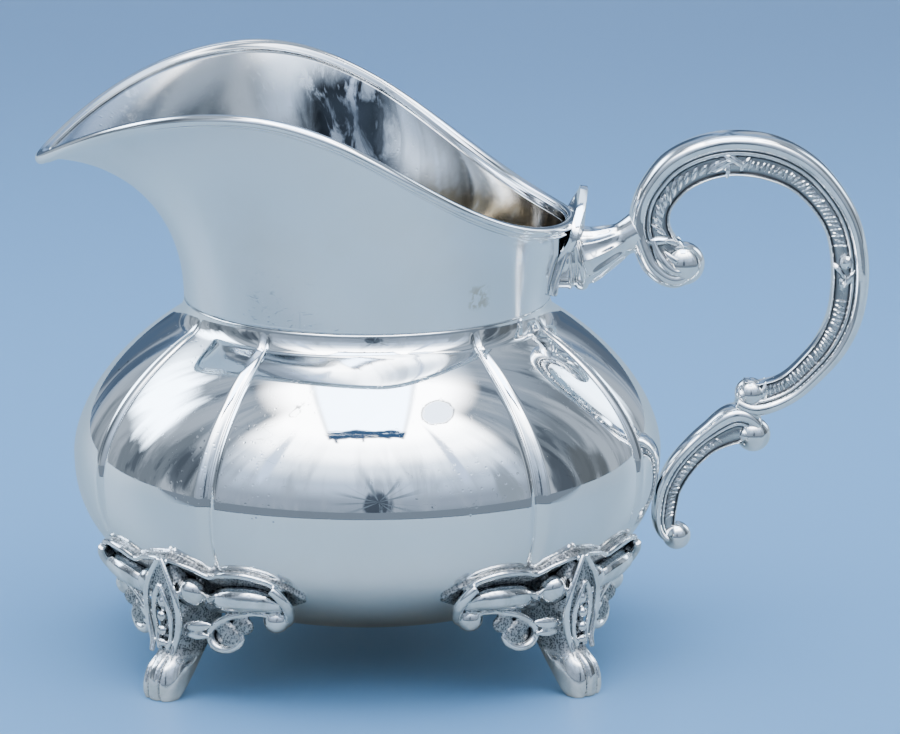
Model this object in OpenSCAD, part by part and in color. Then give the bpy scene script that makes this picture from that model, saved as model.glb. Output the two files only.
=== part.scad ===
/* [Bowl] */
// Outer radius of the bowl over its lobes, at the widest level
bowl_r = 47; // [40:0.5:56]
// Height from the table to the underside of the bowl
bowl_clear_h = 6; // [4:0.5:9]
// Height from the underside of the bowl to its widest level
bowl_lower_h = 26; // [22:0.5:31]
// Height from the widest level to the seam under the neck
bowl_shoulder_h = 25; // [20:0.5:29]
// Radius of the rounded corner where the shoulder turns up into the neck
neck_corner_r = 4; // [2:0.2:5]
// Thickness of the silver sheet of the bowl and neck
sheet_t = 0.9; // [0.6:0.1:1.2]
// Depth of the creases between the lobes
crease_depth = 2.2; // [0.5:0.1:3]
// Height below the seam in which the creases reach their full depth
crease_rise_h = 6; // [4:0.5:9]
// Angle from the front or back of the bowl to the creases beside its wide lobes
wide_lobe_angle = 33.5; // [30:0.5:37]
// Angle from the front or back of the bowl to the creases beside its end lobes
end_lobe_angle = 65; // [62:0.5:69]

/* [Neck and mouth] */
// Outer radius of the neck at the seam
neck_r = 29.2; // [25:0.2:34]
// Width of the mouth between the outer faces of its sheet
mouth_w = 72.6; // [66:0.2:84]
// Distance from the bowl's axis to the mouth's widest place, towards the handle
mouth_mid_x = 2; // [1:0.5:5]
// Distance from the bowl's axis to the back of the mouth
mouth_back_x = 32.4; // [30:0.2:38]
// Distance from the bowl's axis to the tip of the spout's sheet
spout_reach = 50.4; // [44:0.2:60]
// Distance from the bowl's axis to the highest place of the mouth, towards the spout
crest_x = 20; // [15:0.5:24]
// Height of the back of the mouth above the seam
mouth_back_h = 10.9; // [10:0.1:14]
// Height of the spout's tip above the seam
spout_tip_h = 22.5; // [18:0.5:27]
// Height of the mouth's highest place above the seam
crest_h = 33.5; // [28:0.5:40]

/* [Rim wire] */
// How far the moulded wire stands out from the face of the sheet
wire_out = 0.9; // [0.5:0.1:1.2]
// How far the moulded wire stands in from the inner face of the sheet
wire_in = 0.2; // [0.1:0.1:0.5]
// Height of the moulded wire above the edge of the sheet
wire_h = 2.2; // [1.6:0.1:2.8]

/* [Handle socket] */
// Thickness of the plate that is soldered to the back of the neck
plate_t = 1.2; // [0.8:0.1:1.6]
// Width of the plate
plate_w = 15; // [12:0.5:18]
// Height of the plate's pointed tongue above the edge of the mouth
tongue_h = 7; // [5:0.5:9]
// Length of the fluted bell from the plate to the scroll
bell_len = 9.8; // [8:0.2:12]
// Outer radius of the bell's lip
bell_r = 6.8; // [5.6:0.2:8.2]
// Radius of the bell's waist, where the scroll meets it
bell_waist_r = 3; // [2.4:0.2:3.6]

/* [Handle] */
// Distance from the scroll's inner side to its outermost centre line
handle_reach = 35.4; // [30:0.2:42]
// Width of the scroll, seen from the side, at its top
scroll_w = 7.2; // [6:0.2:8.6]
// Depth of the scroll across the creamer
scroll_d = 6.6; // [5.4:0.2:8]
// Radius of the ball at the inner end of the upper scroll
curl_ball_r = 3.5; // [2.8:0.1:4.2]
// Radius of the two beads where the upper and lower scrolls meet
bead_r = 2.8; // [2.2:0.1:3.4]
// Radius of the ball at the lower end of the handle
tail_ball_r = 2.3; // [1.8:0.1:2.8]
// Height of the lower scroll's seat on the bowl, below the widest level
seat_drop_h = 7; // [5:0.5:9]

/* [Feet] */
// Distance from the bowl's axis to the middle of each hoof
foot_r = 45.2; // [41:0.2:50]
// Width of a hoof over its three toes
hoof_w = 6.2; // [5:0.2:7.4]
// Height of a hoof
hoof_h = 6.4; // [5.4:0.2:7.6]
// Radius of the polished bosses beside each leaf
boss_r = 2.4; // [2:0.1:2.8]
// Radius of each scrolled arm
arm_r = 1.7; // [1.4:0.1:2]
// Angle that each arm reaches round the bowl from the middle of its foot
arm_angle = 30; // [26:0.5:34]
// Width of the pointed leaf on the front of each foot
leaf_w = 6.6; // [5.4:0.2:7.8]
// Radius of the small beads down the middle of each leaf
leaf_bead_r = 0.9; // [0.7:0.05:1.1]
// Thickness of the backplate between each arm and the bowl
backplate_t = 1; // [0.8:0.1:1.2]

/* [Hidden] */

silver = [0.8, 0.81, 0.83];
oxidised_silver = [0.62, 0.63, 0.65];

// Levels above the table
base_z = bowl_clear_h;
mid_z = base_z + bowl_lower_h;
seam_z = mid_z + bowl_shoulder_h;
mouth_back_z = seam_z + mouth_back_h;
crest_z = seam_z + crest_h;
spout_tip_z = seam_z + spout_tip_h;

// Solder gap between pieces that sit on a curved face
seat_gap = 0.05;
// Overrun of every cutting solid
overrun = 20;

// Roundness of the bowl's section below and above its widest level
lower_power = 2.3;
shoulder_power = 1.78;
lower_steps = 6;
shoulder_steps = 6;
corner_steps = 3;
inner_lower_steps = 4;
inner_shoulder_steps = 3;
inner_corner_steps = 1;
// Height at which the creases die out, as a share of the lower height
crease_end_share = 0.12;

// A point of the rounded corner under the neck, by its angle from upright
function corner_r(angle) = neck_r + neck_corner_r * (1 - cos(angle));
function corner_z(angle) = seam_z - neck_corner_r * sin(angle);
// Full height of a rounded shoulder that passes through that point, if it ran on to the axis
function shoulder_through(angle) =
    (corner_z(angle) - mid_z) / pow(1 - pow(corner_r(angle) / bowl_r, shoulder_power), 1 / shoulder_power);
// Slope of that shoulder there, as its angle from upright
function shoulder_angle(angle) =
    let (h = shoulder_through(angle), u = (corner_z(angle) - mid_z) / h)
    atan(bowl_r / h * pow(u, shoulder_power - 1) * pow(1 - pow(u, shoulder_power), 1 / shoulder_power - 1));
// The angle at which the corner runs smoothly into the shoulder
function join_angle(low = 5, high = 85, turns = 24) =
    let (middle = (low + high) / 2)
    turns == 0 ? middle
    : shoulder_angle(middle) > middle ? join_angle(middle, high, turns - 1)
    : join_angle(low, middle, turns - 1);
corner_angle = join_angle();
shoulder_h = shoulder_through(corner_angle);
corner_low_z = corner_z(corner_angle);

function smooth(x) = let (c = max(0, min(1, x))) c * c * (3 - 2 * c);
function mix(a, b, x) = a + (b - a) * x;
function unit(v) = v / max(norm(v), 1e-9);

function bowl_profile(z) =
    z < mid_z
    ? bowl_r * pow(max(0, 1 - pow((mid_z - z) / bowl_lower_h, lower_power)), 1 / lower_power)
    : z < corner_low_z
    ? bowl_r * pow(max(0, 1 - pow((z - mid_z) / shoulder_h, shoulder_power)), 1 / shoulder_power)
    : corner_r(asin(min(1, max(0, (seam_z - z) / neck_corner_r))));

// The azimuths of the creases, from the handle round to the handle again
crease_angles = [
    end_lobe_angle - 90, 90 - end_lobe_angle, 90 - wide_lobe_angle, 90 + wide_lobe_angle,
    90 + end_lobe_angle, 270 - end_lobe_angle, 270 - wide_lobe_angle, 270 + wide_lobe_angle,
    270 + end_lobe_angle
];
lobe_steps = [6, 6, 10, 6, 6, 6, 10, 6];
bowl_azimuths = [
    for (i = [0 : 7]) for (k = [0 : lobe_steps[i] - 1])
        mix(crease_angles[i], crease_angles[i + 1], k / lobe_steps[i])
];

function wrapped(az) = az < crease_angles[0] ? wrapped(az + 360)
    : az >= crease_angles[8] ? wrapped(az - 360) : az;
function lobe_index(az, i = 0) = i == 7 || az < crease_angles[i + 1] ? i : lobe_index(az, i + 1);
// Nought in the middle of a lobe and one at its creases
function lobe_edge(az) =
    let (a = wrapped(az), i = lobe_index(a), middle = (crease_angles[i] + crease_angles[i + 1]) / 2)
    abs(a - middle) / (crease_angles[i + 1] - middle);
function crease_fade(z) =
    z < mid_z
    ? smooth((z - base_z - crease_end_share * bowl_lower_h) / (bowl_lower_h * (1 - crease_end_share)))
    : smooth((seam_z - z) / crease_rise_h);
function bowl_radius(az, z) =
    bowl_profile(z) - crease_depth * pow(lobe_edge(az), 2) * crease_fade(z);

// Outward normal of the bowl's round section, as its radial and upright parts
function bowl_slope(z) =
    let (step_h = bowl_lower_h / 200, low = max(base_z + step_h, z - step_h),
        high = min(seam_z, z + step_h))
    unit([high - low, bowl_profile(low) - bowl_profile(high)]);
// A point that stands off the bowl's face at an azimuth and a height
function on_bowl(az, z, off) =
    let (slope = bowl_slope(z), r = bowl_radius(az, z) + off * slope[0])
    [r * cos(az), r * sin(az), z + off * slope[1]];

// Levels of the bowl's rings, from near the pole up to the seam
function ring_levels(low_steps, high_steps, top_steps) =
    let (top_angle = asin(pow((corner_low_z - mid_z) / shoulder_h, shoulder_power / 2)))
    concat(
        [for (k = [1 : low_steps])
            mid_z - bowl_lower_h * pow(cos(90 * k / low_steps), 2 / lower_power)],
        [for (k = [1 : high_steps])
            mid_z + shoulder_h * pow(sin(top_angle * k / high_steps), 2 / shoulder_power)],
        [for (k = [top_steps - 1 : -1 : 0]) corner_z(corner_angle * k / top_steps)]
    );

// Faces between one ring of points and the next, for rings of n points
function band_faces(n, first, second) = [
    for (i = [0 : n - 1]) let (j = (i + 1) % n)
        each [[first + i, second + i, second + j], [first + i, second + j, first + j]]
];
function fan_faces(n, first, hub) = [for (i = [0 : n - 1]) [hub, first + i, first + (i + 1) % n]];
function turned(faces) = [for (f = faces) [f[0], f[2], f[1]]];

// A closed skin of rings of equal length, with a hub point at each end
module ring_skin(rings, first_hub, last_hub) {
    n = len(rings[0]);
    count = len(rings);
    points = concat([for (ring = rings) each ring], [first_hub, last_hub]);
    faces = concat(
        [for (k = [0 : count - 2]) each band_faces(n, k * n, (k + 1) * n)],
        fan_faces(n, 0, n * count),
        turned(fan_faces(n, (count - 1) * n, n * count + 1))
    );
    polyhedron(points = points, faces = faces);
}

function outer_ring(z) = [for (az = bowl_azimuths) on_bowl(az, z, 0)];
function inner_ring(z) = [for (az = bowl_azimuths) on_bowl(az, z, -sheet_t)];
function seam_ring(r) = [for (az = bowl_azimuths) [r * cos(az), r * sin(az), seam_z]];

module bowl() {
    outer_levels = ring_levels(lower_steps, shoulder_steps, corner_steps);
    inner_levels = ring_levels(inner_lower_steps, inner_shoulder_steps, inner_corner_steps);
    rings = concat(
        [for (z = outer_levels) outer_ring(z)],
        [seam_ring(neck_r - sheet_t)],
        [for (k = [len(inner_levels) - 2 : -1 : 0]) inner_ring(inner_levels[k])]
    );
    color(silver) placed() ring_skin(rings, [0, 0, base_z], [0, 0, base_z + sheet_t]);
}

// The bowl's outer form as one solid, which its feet are fitted to
module bowl_form() {
    rings = [for (z = ring_levels(lower_steps, shoulder_steps, corner_steps)) outer_ring(z)];
    ring_skin(rings, [0, 0, base_z], [0, 0, seam_z]);
}

// Shape of the mouth: how its ends are drawn in, and how sharp the spout's tip is
mouth_draw_share = 0.35;
tip_draw_share = 0.25;
tip_draw_power = 8;
rise_power = 0.86;
fall_power = 2.1;
// Lean of the sheet at the edge of the mouth, at the back and at the spout's tip
back_flare = 10;
tip_flare = 88;
flare_power = 3;
// Stiffness of the neck's curve at the seam, at the back and under the spout
back_rise_share = 1;
tip_rise_share = 1.5;

neck_sides = 60;
neck_steps = 7;
inner_neck_steps = 3;

function mouth_x(t) =
    mouth_mid_x + (cos(t) > 0 ? mouth_back_x - mouth_mid_x : spout_reach + mouth_mid_x) * cos(t);
function mouth_y(t) =
    mouth_w / 2 * sin(t) * (1 - mouth_draw_share * pow(cos(t), 2)
        - (cos(t) < 0 ? tip_draw_share * pow(cos(t), tip_draw_power) : 0));
function mouth_z(x) =
    x > -crest_x
    ? mix(mouth_back_z, crest_z,
        (1 - cos(180 * pow((mouth_back_x - x) / (mouth_back_x + crest_x), rise_power))) / 2)
    : mix(crest_z, spout_tip_z, pow((-crest_x - x) / (spout_reach - crest_x), fall_power));
function mouth_point(t) = let (x = mouth_x(t)) [x, mouth_y(t), mouth_z(x)];
function spout_share(t) = (1 - cos(t)) / 2;
// Direction of the sheet as it reaches the edge of the mouth
function mouth_lean(t) =
    let (flare = mix(back_flare, tip_flare, pow(spout_share(t), flare_power)))
    [cos(t) * sin(flare), sin(t) * sin(flare), cos(flare)];

// A point of the neck's outer face: t goes round it, and v from the seam to the mouth
function neck_point(t, v) =
    let (low = [neck_r * cos(t), neck_r * sin(t), seam_z], high = mouth_point(t),
        chord = norm(high - low),
        rise = [0, 0, chord * mix(back_rise_share, tip_rise_share, spout_share(t))],
        lean = mouth_lean(t) * chord)
    low * (2 * pow(v, 3) - 3 * pow(v, 2) + 1) + rise * (pow(v, 3) - 2 * pow(v, 2) + v)
        + high * (3 * pow(v, 2) - 2 * pow(v, 3)) + lean * (pow(v, 3) - pow(v, 2));
angle_step = 0.5;
v_step = 0.01;
function neck_normal(t, v) =
    let (along = neck_point(t + angle_step, v) - neck_point(t - angle_step, v),
        up = v < v_step ? [0, 0, 1] : v > 1 - v_step ? mouth_lean(t)
            : neck_point(t, v + v_step) - neck_point(t, v - v_step))
    unit(cross(along, up));
function off_neck(t, v, off) = neck_point(t, v) + neck_normal(t, v) * off;

module neck() {
    outer = [for (k = [0 : neck_steps]) [for (i = [0 : neck_sides - 1])
        neck_point(360 * i / neck_sides, k / neck_steps)]];
    inner = [for (k = [inner_neck_steps : -1 : 0]) [for (i = [0 : neck_sides - 1])
        off_neck(360 * i / neck_sides, k / inner_neck_steps, -sheet_t)]];
    rings = concat(outer, inner);
    points = [for (ring = rings) each ring];
    count = len(rings);
    faces = [for (k = [0 : count - 1])
        each band_faces(neck_sides, k * neck_sides, ((k + 1) % count) * neck_sides)];
    color(silver) placed() polyhedron(points = points, faces = faces);
}

// Section of the moulded rim wire: shares of its reach out or in, and of its height
wire_section_shares = [[-1, 0], [0.6, 0], [0.35, 0.3], [1, 0.6], [0.7, 0.9], [-0.2, 1], [-1, 0.6]];

module rim_wire() {
    n = len(wire_section_shares);
    rings = [for (i = [0 : neck_sides - 1])
        let (t = 360 * i / neck_sides, out = neck_normal(t, 1), up = mouth_lean(t))
        [for (s = wire_section_shares)
            mouth_point(t) + out * s[0] * (s[0] < 0 ? sheet_t + wire_in : wire_out) + up * s[1] * wire_h]];
    points = [for (ring = rings) each ring];
    faces = [for (i = [0 : neck_sides - 1]) each band_faces(n, i * n, ((i + 1) % neck_sides) * n)];
    color(silver) placed() polyhedron(points = points, faces = turned(faces));
}

// Share of the neck's rise at which its back reaches a height
function back_v(z, low = 0, high = 1, turns = 20) =
    let (v = (low + high) / 2)
    turns == 0 ? v
    : neck_point(0, v)[2] < z ? back_v(z, v, high, turns - 1) : back_v(z, low, v, turns - 1);
// Angle at which the neck reaches a distance to the side
function side_angle(y, v, t = 0, turns = 5) =
    turns == 0 ? t
    : let (here = neck_point(t, v)[1], beside = neck_point(t + 1, v)[1])
    side_angle(y, v, t + (y - here) / (beside - here), turns - 1);

// The plate clears the rim wire in the upper part of its height
plate_low_share = 0.06;
plate_bend_share = 0.62;
plate_columns = 6;
plate_rows = 5;
tongue_rows = 4;
tongue_point_power = 1.6;
plate_foot_share = 0.72;
// Share of the tongue's height at which its point is cut off
tongue_end_share = 0.96;
// Angle to each side of the handle that the bell's fitting form covers
plate_form_angle = 120;

function plate_bend(v) = smooth((v - plate_bend_share) / (1 - plate_bend_share));
function plate_off(v) = seat_gap + (wire_out + seat_gap) * plate_bend(v);
// Half width of the plate over its rise, and of the tongue over its own
function plate_half_w(v) = plate_w / 2 * mix(plate_foot_share, 1, smooth(v));
function tongue_half_w(u) = plate_w / 2 * (1 - pow(u, tongue_point_power));
function plate_point(side, v, off) =
    let (t = side_angle(side * plate_half_w(v), v)) off_neck(t, v, plate_off(v) + off);
function tongue_point(side, u, off) =
    let (t = side_angle(side * tongue_half_w(u), 1))
    off_neck(t, 1, plate_off(1) + off) + unit(mouth_lean(t) + [0, 0, 1]) * u * tongue_h;

module socket_plate() {
    columns = plate_columns + 1;
    function row_points(off) = concat(
        [for (k = [0 : plate_rows]) [for (i = [0 : plate_columns])
            plate_point(2 * i / plate_columns - 1, mix(plate_low_share, 1, k / plate_rows), off)]],
        [for (k = [1 : tongue_rows]) [for (i = [0 : plate_columns])
            tongue_point(2 * i / plate_columns - 1, mix(0, tongue_end_share, k / tongue_rows), off)]]
    );
    rows = plate_rows + tongue_rows + 1;
    front = row_points(0);
    back = row_points(plate_t);
    rings = [for (k = [0 : rows - 1]) concat(front[k], [for (i = [plate_columns : -1 : 0]) back[k][i]])];
    n = 2 * columns;
    points = [for (ring = rings) each ring];
    cap = [for (i = [0 : plate_columns - 1])
        each [[i, i + 1, n - 1 - i], [i + 1, n - 2 - i, n - 1 - i]]];
    last = (rows - 1) * n;
    faces = concat(
        [for (k = [0 : rows - 2]) each band_faces(n, k * n, (k + 1) * n)],
        cap,
        turned([for (f = cap) [last + f[0], last + f[1], last + f[2]]])
    );
    color(silver) placed() polyhedron(points = points, faces = turned(faces));
}

// Middle of the bell on the back of the neck
bell_level_share = 0.53;
bell_z = mix(seam_z, mouth_back_z, bell_level_share);
bell_v = back_v(bell_z);
plate_x = neck_point(0, bell_v)[0] + plate_off(bell_v) + plate_t;
scroll_x = plate_x + bell_len;
bell_rise_share = 0.5;
scroll_z = bell_z + bell_r * bell_rise_share;
bell_tilt = atan2(scroll_z - bell_z, bell_len);

// Outline of the bell: shares of its length, and of its lip or waist radius
bell_lip_shares = [[-0.2, 0.8], [0.1, 0.82], [0.16, 0.74], [0.22, 0.96], [0.28, 1], [0.34, 0.92]];
bell_waist_shares = [[0.48, 1.5], [0.66, 1.15], [0.88, 0.96], [1.15, 1.06]];
flutes = 8;

module bell_solid() {
    length = norm([bell_len, scroll_z - bell_z]);
    profile = concat(
        [[0, bell_lip_shares[0][0] * length]],
        [for (s = bell_lip_shares) [s[1] * bell_r, s[0] * length]],
        [for (s = bell_waist_shares) [s[1] * bell_waist_r, s[0] * length]],
        [[0, bell_waist_shares[3][0] * length]]
    );
    translate([plate_x, 0, bell_z]) rotate([0, 90 - bell_tilt, 0]) {
        rotate_extrude($fn = 24) polygon(profile);
        for (k = [0 : flutes - 1]) rotate(360 * (k + 0.5) / flutes)
            hull() {
                translate([0.82 * bell_r, 0, 0.38 * length]) sphere(0.09 * bell_r, $fn = 5);
                translate([1.16 * bell_waist_r, 0, 0.64 * length]) sphere(0.06 * bell_r, $fn = 5);
            }
    }
}

// The neck and its plate as one solid, which the bell is fitted to
module plate_form() {
    rings = [for (k = [0 : plate_rows + 1])
        let (v = min(1, k / plate_rows), top = k > plate_rows ? tongue_h : 0)
        [for (i = [0 : neck_sides / 2 - 1]) let (t = plate_form_angle * (2 * i / (neck_sides / 2 - 1) - 1))
            off_neck(t, v, plate_off(v) + plate_t + seat_gap) + [0, 0, top]]];
    ring_skin(rings, [0, 0, seam_z], [0, 0, mouth_back_z + tongue_h]);
}

module socket_bell() {
    color(silver) placed() difference() {
        bell_solid();
        plate_form();
        upper_scroll_form(seat_gap);
    }
}

// The handle is laid out between its seat on the bell and its seat on the bowl
seat_z = mid_z - seat_drop_h;
seat_x = bowl_profile(seat_z);
function handle_base_x(share) = mix(seat_x, scroll_x, share);
// Half the scroll's width where it meets the bowl and where it meets the bell, as shares of its width
seat_half_shares = [0.3, 0.45];
function handle_point(s) = [
    handle_base_x(s[1]) + scroll_w * mix(seat_half_shares[0], seat_half_shares[1], s[1])
        + s[0] * (handle_reach - scroll_w / 2),
    mix(seat_z, scroll_z, s[1])
];

// A path point: shares of the reach and of the height between the seats, and a share of the width
upper_path_shares = [
    [0.16, 0.89, 0.85], [0.115, 0.885, 1.04], [0.065, 0.915, 1.08], [0.03, 0.96, 1], [0.005, 1.03, 0.94],
    [0.02, 1.11, 0.89], [0.07, 1.18, 0.91], [0.165, 1.255, 0.98], [0.3, 1.305, 1], [0.46, 1.325, 1],
    [0.64, 1.305, 1], [0.8, 1.24, 0.92], [0.92, 1.13, 0.85], [0.985, 1.01, 0.83], [1, 0.855, 0.85],
    [0.965, 0.695, 0.81], [0.89, 0.575, 0.76], [0.785, 0.48, 0.71], [0.645, 0.39, 0.7], [0.49, 0.35, 0.78],
    [0.4, 0.37, 0.7]
];
lower_path_shares = [
    [0.47, 0.22, 0.6], [0.375, 0.25, 0.9], [0.235, 0.195, 0.67], [0.14, 0.135, 0.61], [0.065, 0.07, 0.6],
    [0.01, 0, 0.58], [-0.015, -0.06, 0.58], [-0.03, -0.13, 0.54], [-0.02, -0.18, 0.42], [0.03, -0.2, 0.4]
];

// Section of the scroll on one side, from its outer edge in: shares of its width and of its depth
scroll_section_shares = [
    [0.5, 0], [0.43, 0.34], [0.2, 0.48], [0.02, 0.37], [-0.3, 0.36], [-0.44, 0.34], [-0.5, 0]
];
scroll_section = concat(
    scroll_section_shares,
    [for (i = [len(scroll_section_shares) - 2 : -1 : 1])
        [scroll_section_shares[i][0], -scroll_section_shares[i][1]]]
);

// A smooth curve through points, where u counts points along it
function curve_at(p, u) =
    let (i = min(len(p) - 2, floor(u)), x = u - i,
        a = p[max(0, i - 1)], b = p[i], c = p[i + 1], d = p[min(len(p) - 1, i + 2)])
    (2 * b + (c - a) * x + (2 * a - 5 * b + 4 * c - d) * x * x + (3 * b - a - 3 * c + d) * pow(x, 3)) / 2;

upper_steps = 28;
lower_steps_along = 16;
// Middle of the creamer between the spout's tip and the outermost side of the handle
centre_x = (handle_point(upper_path_shares[14])[0] + upper_path_shares[14][2] * scroll_w / 2
    - spout_reach - wire_h) / 2;
module placed() {
    translate([-centre_x, 0, 0]) children();
}

module swept_scroll(shares, stations, grow = 0) {
    path = [for (s = shares) let (p = handle_point(s)) [p[0], p[1], s[2] * scroll_w]];
    last = len(path) - 1;
    rings = [for (k = [0 : stations]) let (
            u = last * k / stations,
            here = curve_at(path, u),
            ahead = curve_at(path, min(last, u + v_step)) - curve_at(path, max(0, u - v_step)),
            along = unit([ahead[0], ahead[1]]),
            w = here[2] + 2 * grow,
            d = (0.35 + 0.65 * here[2] / scroll_w) * scroll_d + 2 * grow)
        [for (q = scroll_section)
            [here[0] - along[1] * q[0] * w, -q[1] * d, here[1] + along[0] * q[0] * w]]];
    first = [path[0][0], 0, path[0][1]];
    end = [path[last][0], 0, path[last][1]];
    ring_skin(rings, first, end);
}

module at_handle(s) {
    p = handle_point(s);
    translate([p[0], 0, p[1]]) children();
}

upper_bead_shares = [0.455, 0.37];
lower_bead_shares = [0.455, 0.205];
// The flat joint between the upper and the lower scroll
joint_shares = [0.42, 0.288];
joint_tilt = 25;
module joint_cut(side) {
    at_handle(joint_shares) rotate([0, joint_tilt, 0])
        translate([-overrun, -overrun, side > 0 ? seat_gap / 2 : -seat_gap / 2 - 2 * overrun])
            cube(2 * overrun);
}

module upper_scroll_form(grow = 0) {
    swept_scroll(upper_path_shares, upper_steps, grow);
    at_handle(upper_path_shares[0]) sphere(curl_ball_r + grow, $fn = 12);
}

// Small leaves chased on the sides of the scroll: one at its outermost side, and three over its top
side_leaf_shares = [0.995, 0.86];
top_leaf_shares = [0.36, 1.325];
top_leaf_step_shares = [0.04, -0.008];
module upper_scroll() {
    color(silver) placed() difference() {
        union() {
            upper_scroll_form();
            at_handle(upper_bead_shares) sphere(0.9 * bead_r, $fn = 12);
            for (side = [-1, 1]) {
                at_handle(side_leaf_shares) translate([0, side * 0.34 * scroll_d, 0])
                    hull() {
                        sphere(0.17 * scroll_w, $fn = 6);
                        translate([-0.1 * scroll_w, 0, -0.24 * scroll_w]) sphere(0.1 * scroll_w, $fn = 5);
                    }
                for (k = [0 : 2])
                    at_handle(top_leaf_shares + k * top_leaf_step_shares)
                        translate([0, side * 0.33 * scroll_d, 0])
                            hull() {
                                sphere(0.1 * scroll_w, $fn = 5);
                                translate([(0.24 + 0.05 * k) * scroll_w, 0, -(0.26 - 0.06 * k) * scroll_w])
                                    sphere(0.06 * scroll_w, $fn = 4);
                            }
            }
        }
        joint_cut(-1);
    }
}

module lower_scroll() {
    color(silver) placed() difference() {
        union() {
            swept_scroll(lower_path_shares, lower_steps_along);
            at_handle(lower_bead_shares) sphere(bead_r, $fn = 10);
            at_handle(lower_path_shares[9]) sphere(tail_ball_r, $fn = 10);
        }
        joint_cut(1);
    }
}

// A round bar through points, with its own radius at each, whose frame stays upright
module bar(points, radii, sides = 8) {
    last = len(points) - 1;
    rings = [for (k = [0 : last]) let (
            along = unit(points[min(last, k + 1)] - points[max(0, k - 1)]),
            side = unit(cross(along, [0, 0, 1])),
            up = cross(side, along))
        [for (i = [0 : sides - 1]) let (a = 360 * i / sides)
            points[k] + (up * cos(a) + side * sin(a)) * radii[k]]];
    ring_skin(rings, points[0], points[last]);
}

// Places on a foot: an angle round the bowl from the foot's middle, a height, and a distance off the bowl
foot_azimuth = 45;
function foot_level(share) = mix(0, mid_z, share);
function foot_place(turn, level_share, off) = on_bowl(foot_azimuth + turn, foot_level(level_share), off);
// Places in the upright plane through a foot's middle
function leg_place(r, z, side = 0) =
    let (c = cos(foot_azimuth), s = sin(foot_azimuth)) [r * c - side * s, r * s + side * c, z];

// Lines that lie on the bowl: shares of the arm's angle and of the widest level's height, then of the
// arm's radius for their distance off the bowl and their own radius
rim_shares = [
    [0.9, 0.463, 1.35, 0.41], [0.955, 0.54, 1.24, 0.54], [0.84, 0.646, 0.9, 0.44], [0.6, 0.68, 0.9, 0.38],
    [0.35, 0.646, 0.9, 0.36], [0.2, 0.7, 0.9, 0.32], [0, 0.722, 0.85, 0.3]
];
rib_shares = [
    [0.86, 0.545, 1.05, 0.5], [0.74, 0.575, 1.15, 0.85], [0.5, 0.565, 1.2, 0.94], [0.32, 0.53, 1.15, 0.86],
    [0.14, 0.48, 0.9, 0.7]
];
hook_ball_shares = [0.833, 0.488, 1.5];
hook_ball_r_share = 1.35;
boss_shares = [0.3, 0.566, 0.4];
// Edges of the backplate: shares of the arm's angle, and of the widest level's height above and below
backplate_shares = [
    [0, 0.72, 0.39], [0.3, 0.684, 0.41], [0.6, 0.697, 0.475], [1, 0.61, 0.54]
];
// Section of the backplate: shares of its height and of its thickness
backplate_section_shares = [[0, -0.5], [1, -0.5], [1, 1], [0, 0.6]];
// Volute beside the leg: shares of the hoof's width to the side, of the widest level's height, of the
// hoof's width out from its middle, and of the arm's radius
volute_shares = [
    [2.74, 0.456, -0.97, 0.3], [1.9, 0.43, -0.68, 0.38], [1.2, 0.38, -0.5, 0.45], [0.7, 0.3, -0.42, 0.48],
    [0.78, 0.23, -0.45, 0.48], [1.28, 0.212, -0.55, 0.44], [1.76, 0.27, -0.71, 0.34]
];
// The volute's sunk face, from the leg to its curled end, and its radius as a share of the boss
volute_face_shares = [[0.3, 0.3, -0.72], [1.3, 0.29, -0.72]];
volute_face_r_share = 0.66;
// Sections of the leg: its level, counted in hoof heights to one and on to the leaf's tip at two, then
// shares of the hoof's width for its back and front from the middle, its half width and its clefts
leg_shares = [
    [0, -0.1, 0.53, 0.44, 0.16], [0.19, -0.31, 0.6, 0.51, 0.2], [0.5, -0.61, 0.6, 0.52, 0.2],
    [0.82, -0.92, 0.47, 0.47, 0.12], [1.06, -1.2, 0.26, 0.4, 0], [1.35, -1.74, 0.26, 0.5, 0],
    [1.6, -1.15, 0.26, 0.56, 0], [2, -0.16, 0.11, 0.2, 0]
];
leaf_top_share = 0.72;
// Half of a leg's outline, front to back: shares of its half width, of its half depth, and of the clefts
leg_outline_shares = [
    [0, 1, 0], [0.26, 0.97, 0], [0.4, 0.92, 1], [0.54, 0.9, 0], [0.86, 0.66, 0], [1, 0, 0], [0.7, -0.8, 0],
    [0, -1, 0]
];
leg_outline = concat(
    leg_outline_shares,
    [for (i = [len(leg_outline_shares) - 2 : -1 : 1]) let (q = leg_outline_shares[i]) [-q[0], q[1], q[2]]]
);
leaf_bead_shares = [0.506, 0.42, 0.34, 0.275];

module line_on_bowl(shares, side, sides) {
    bar([for (s = shares) foot_place(side * s[0] * arm_angle, s[1], s[2] * arm_r)],
        [for (s = shares) s[3] * arm_r], sides);
}

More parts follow.
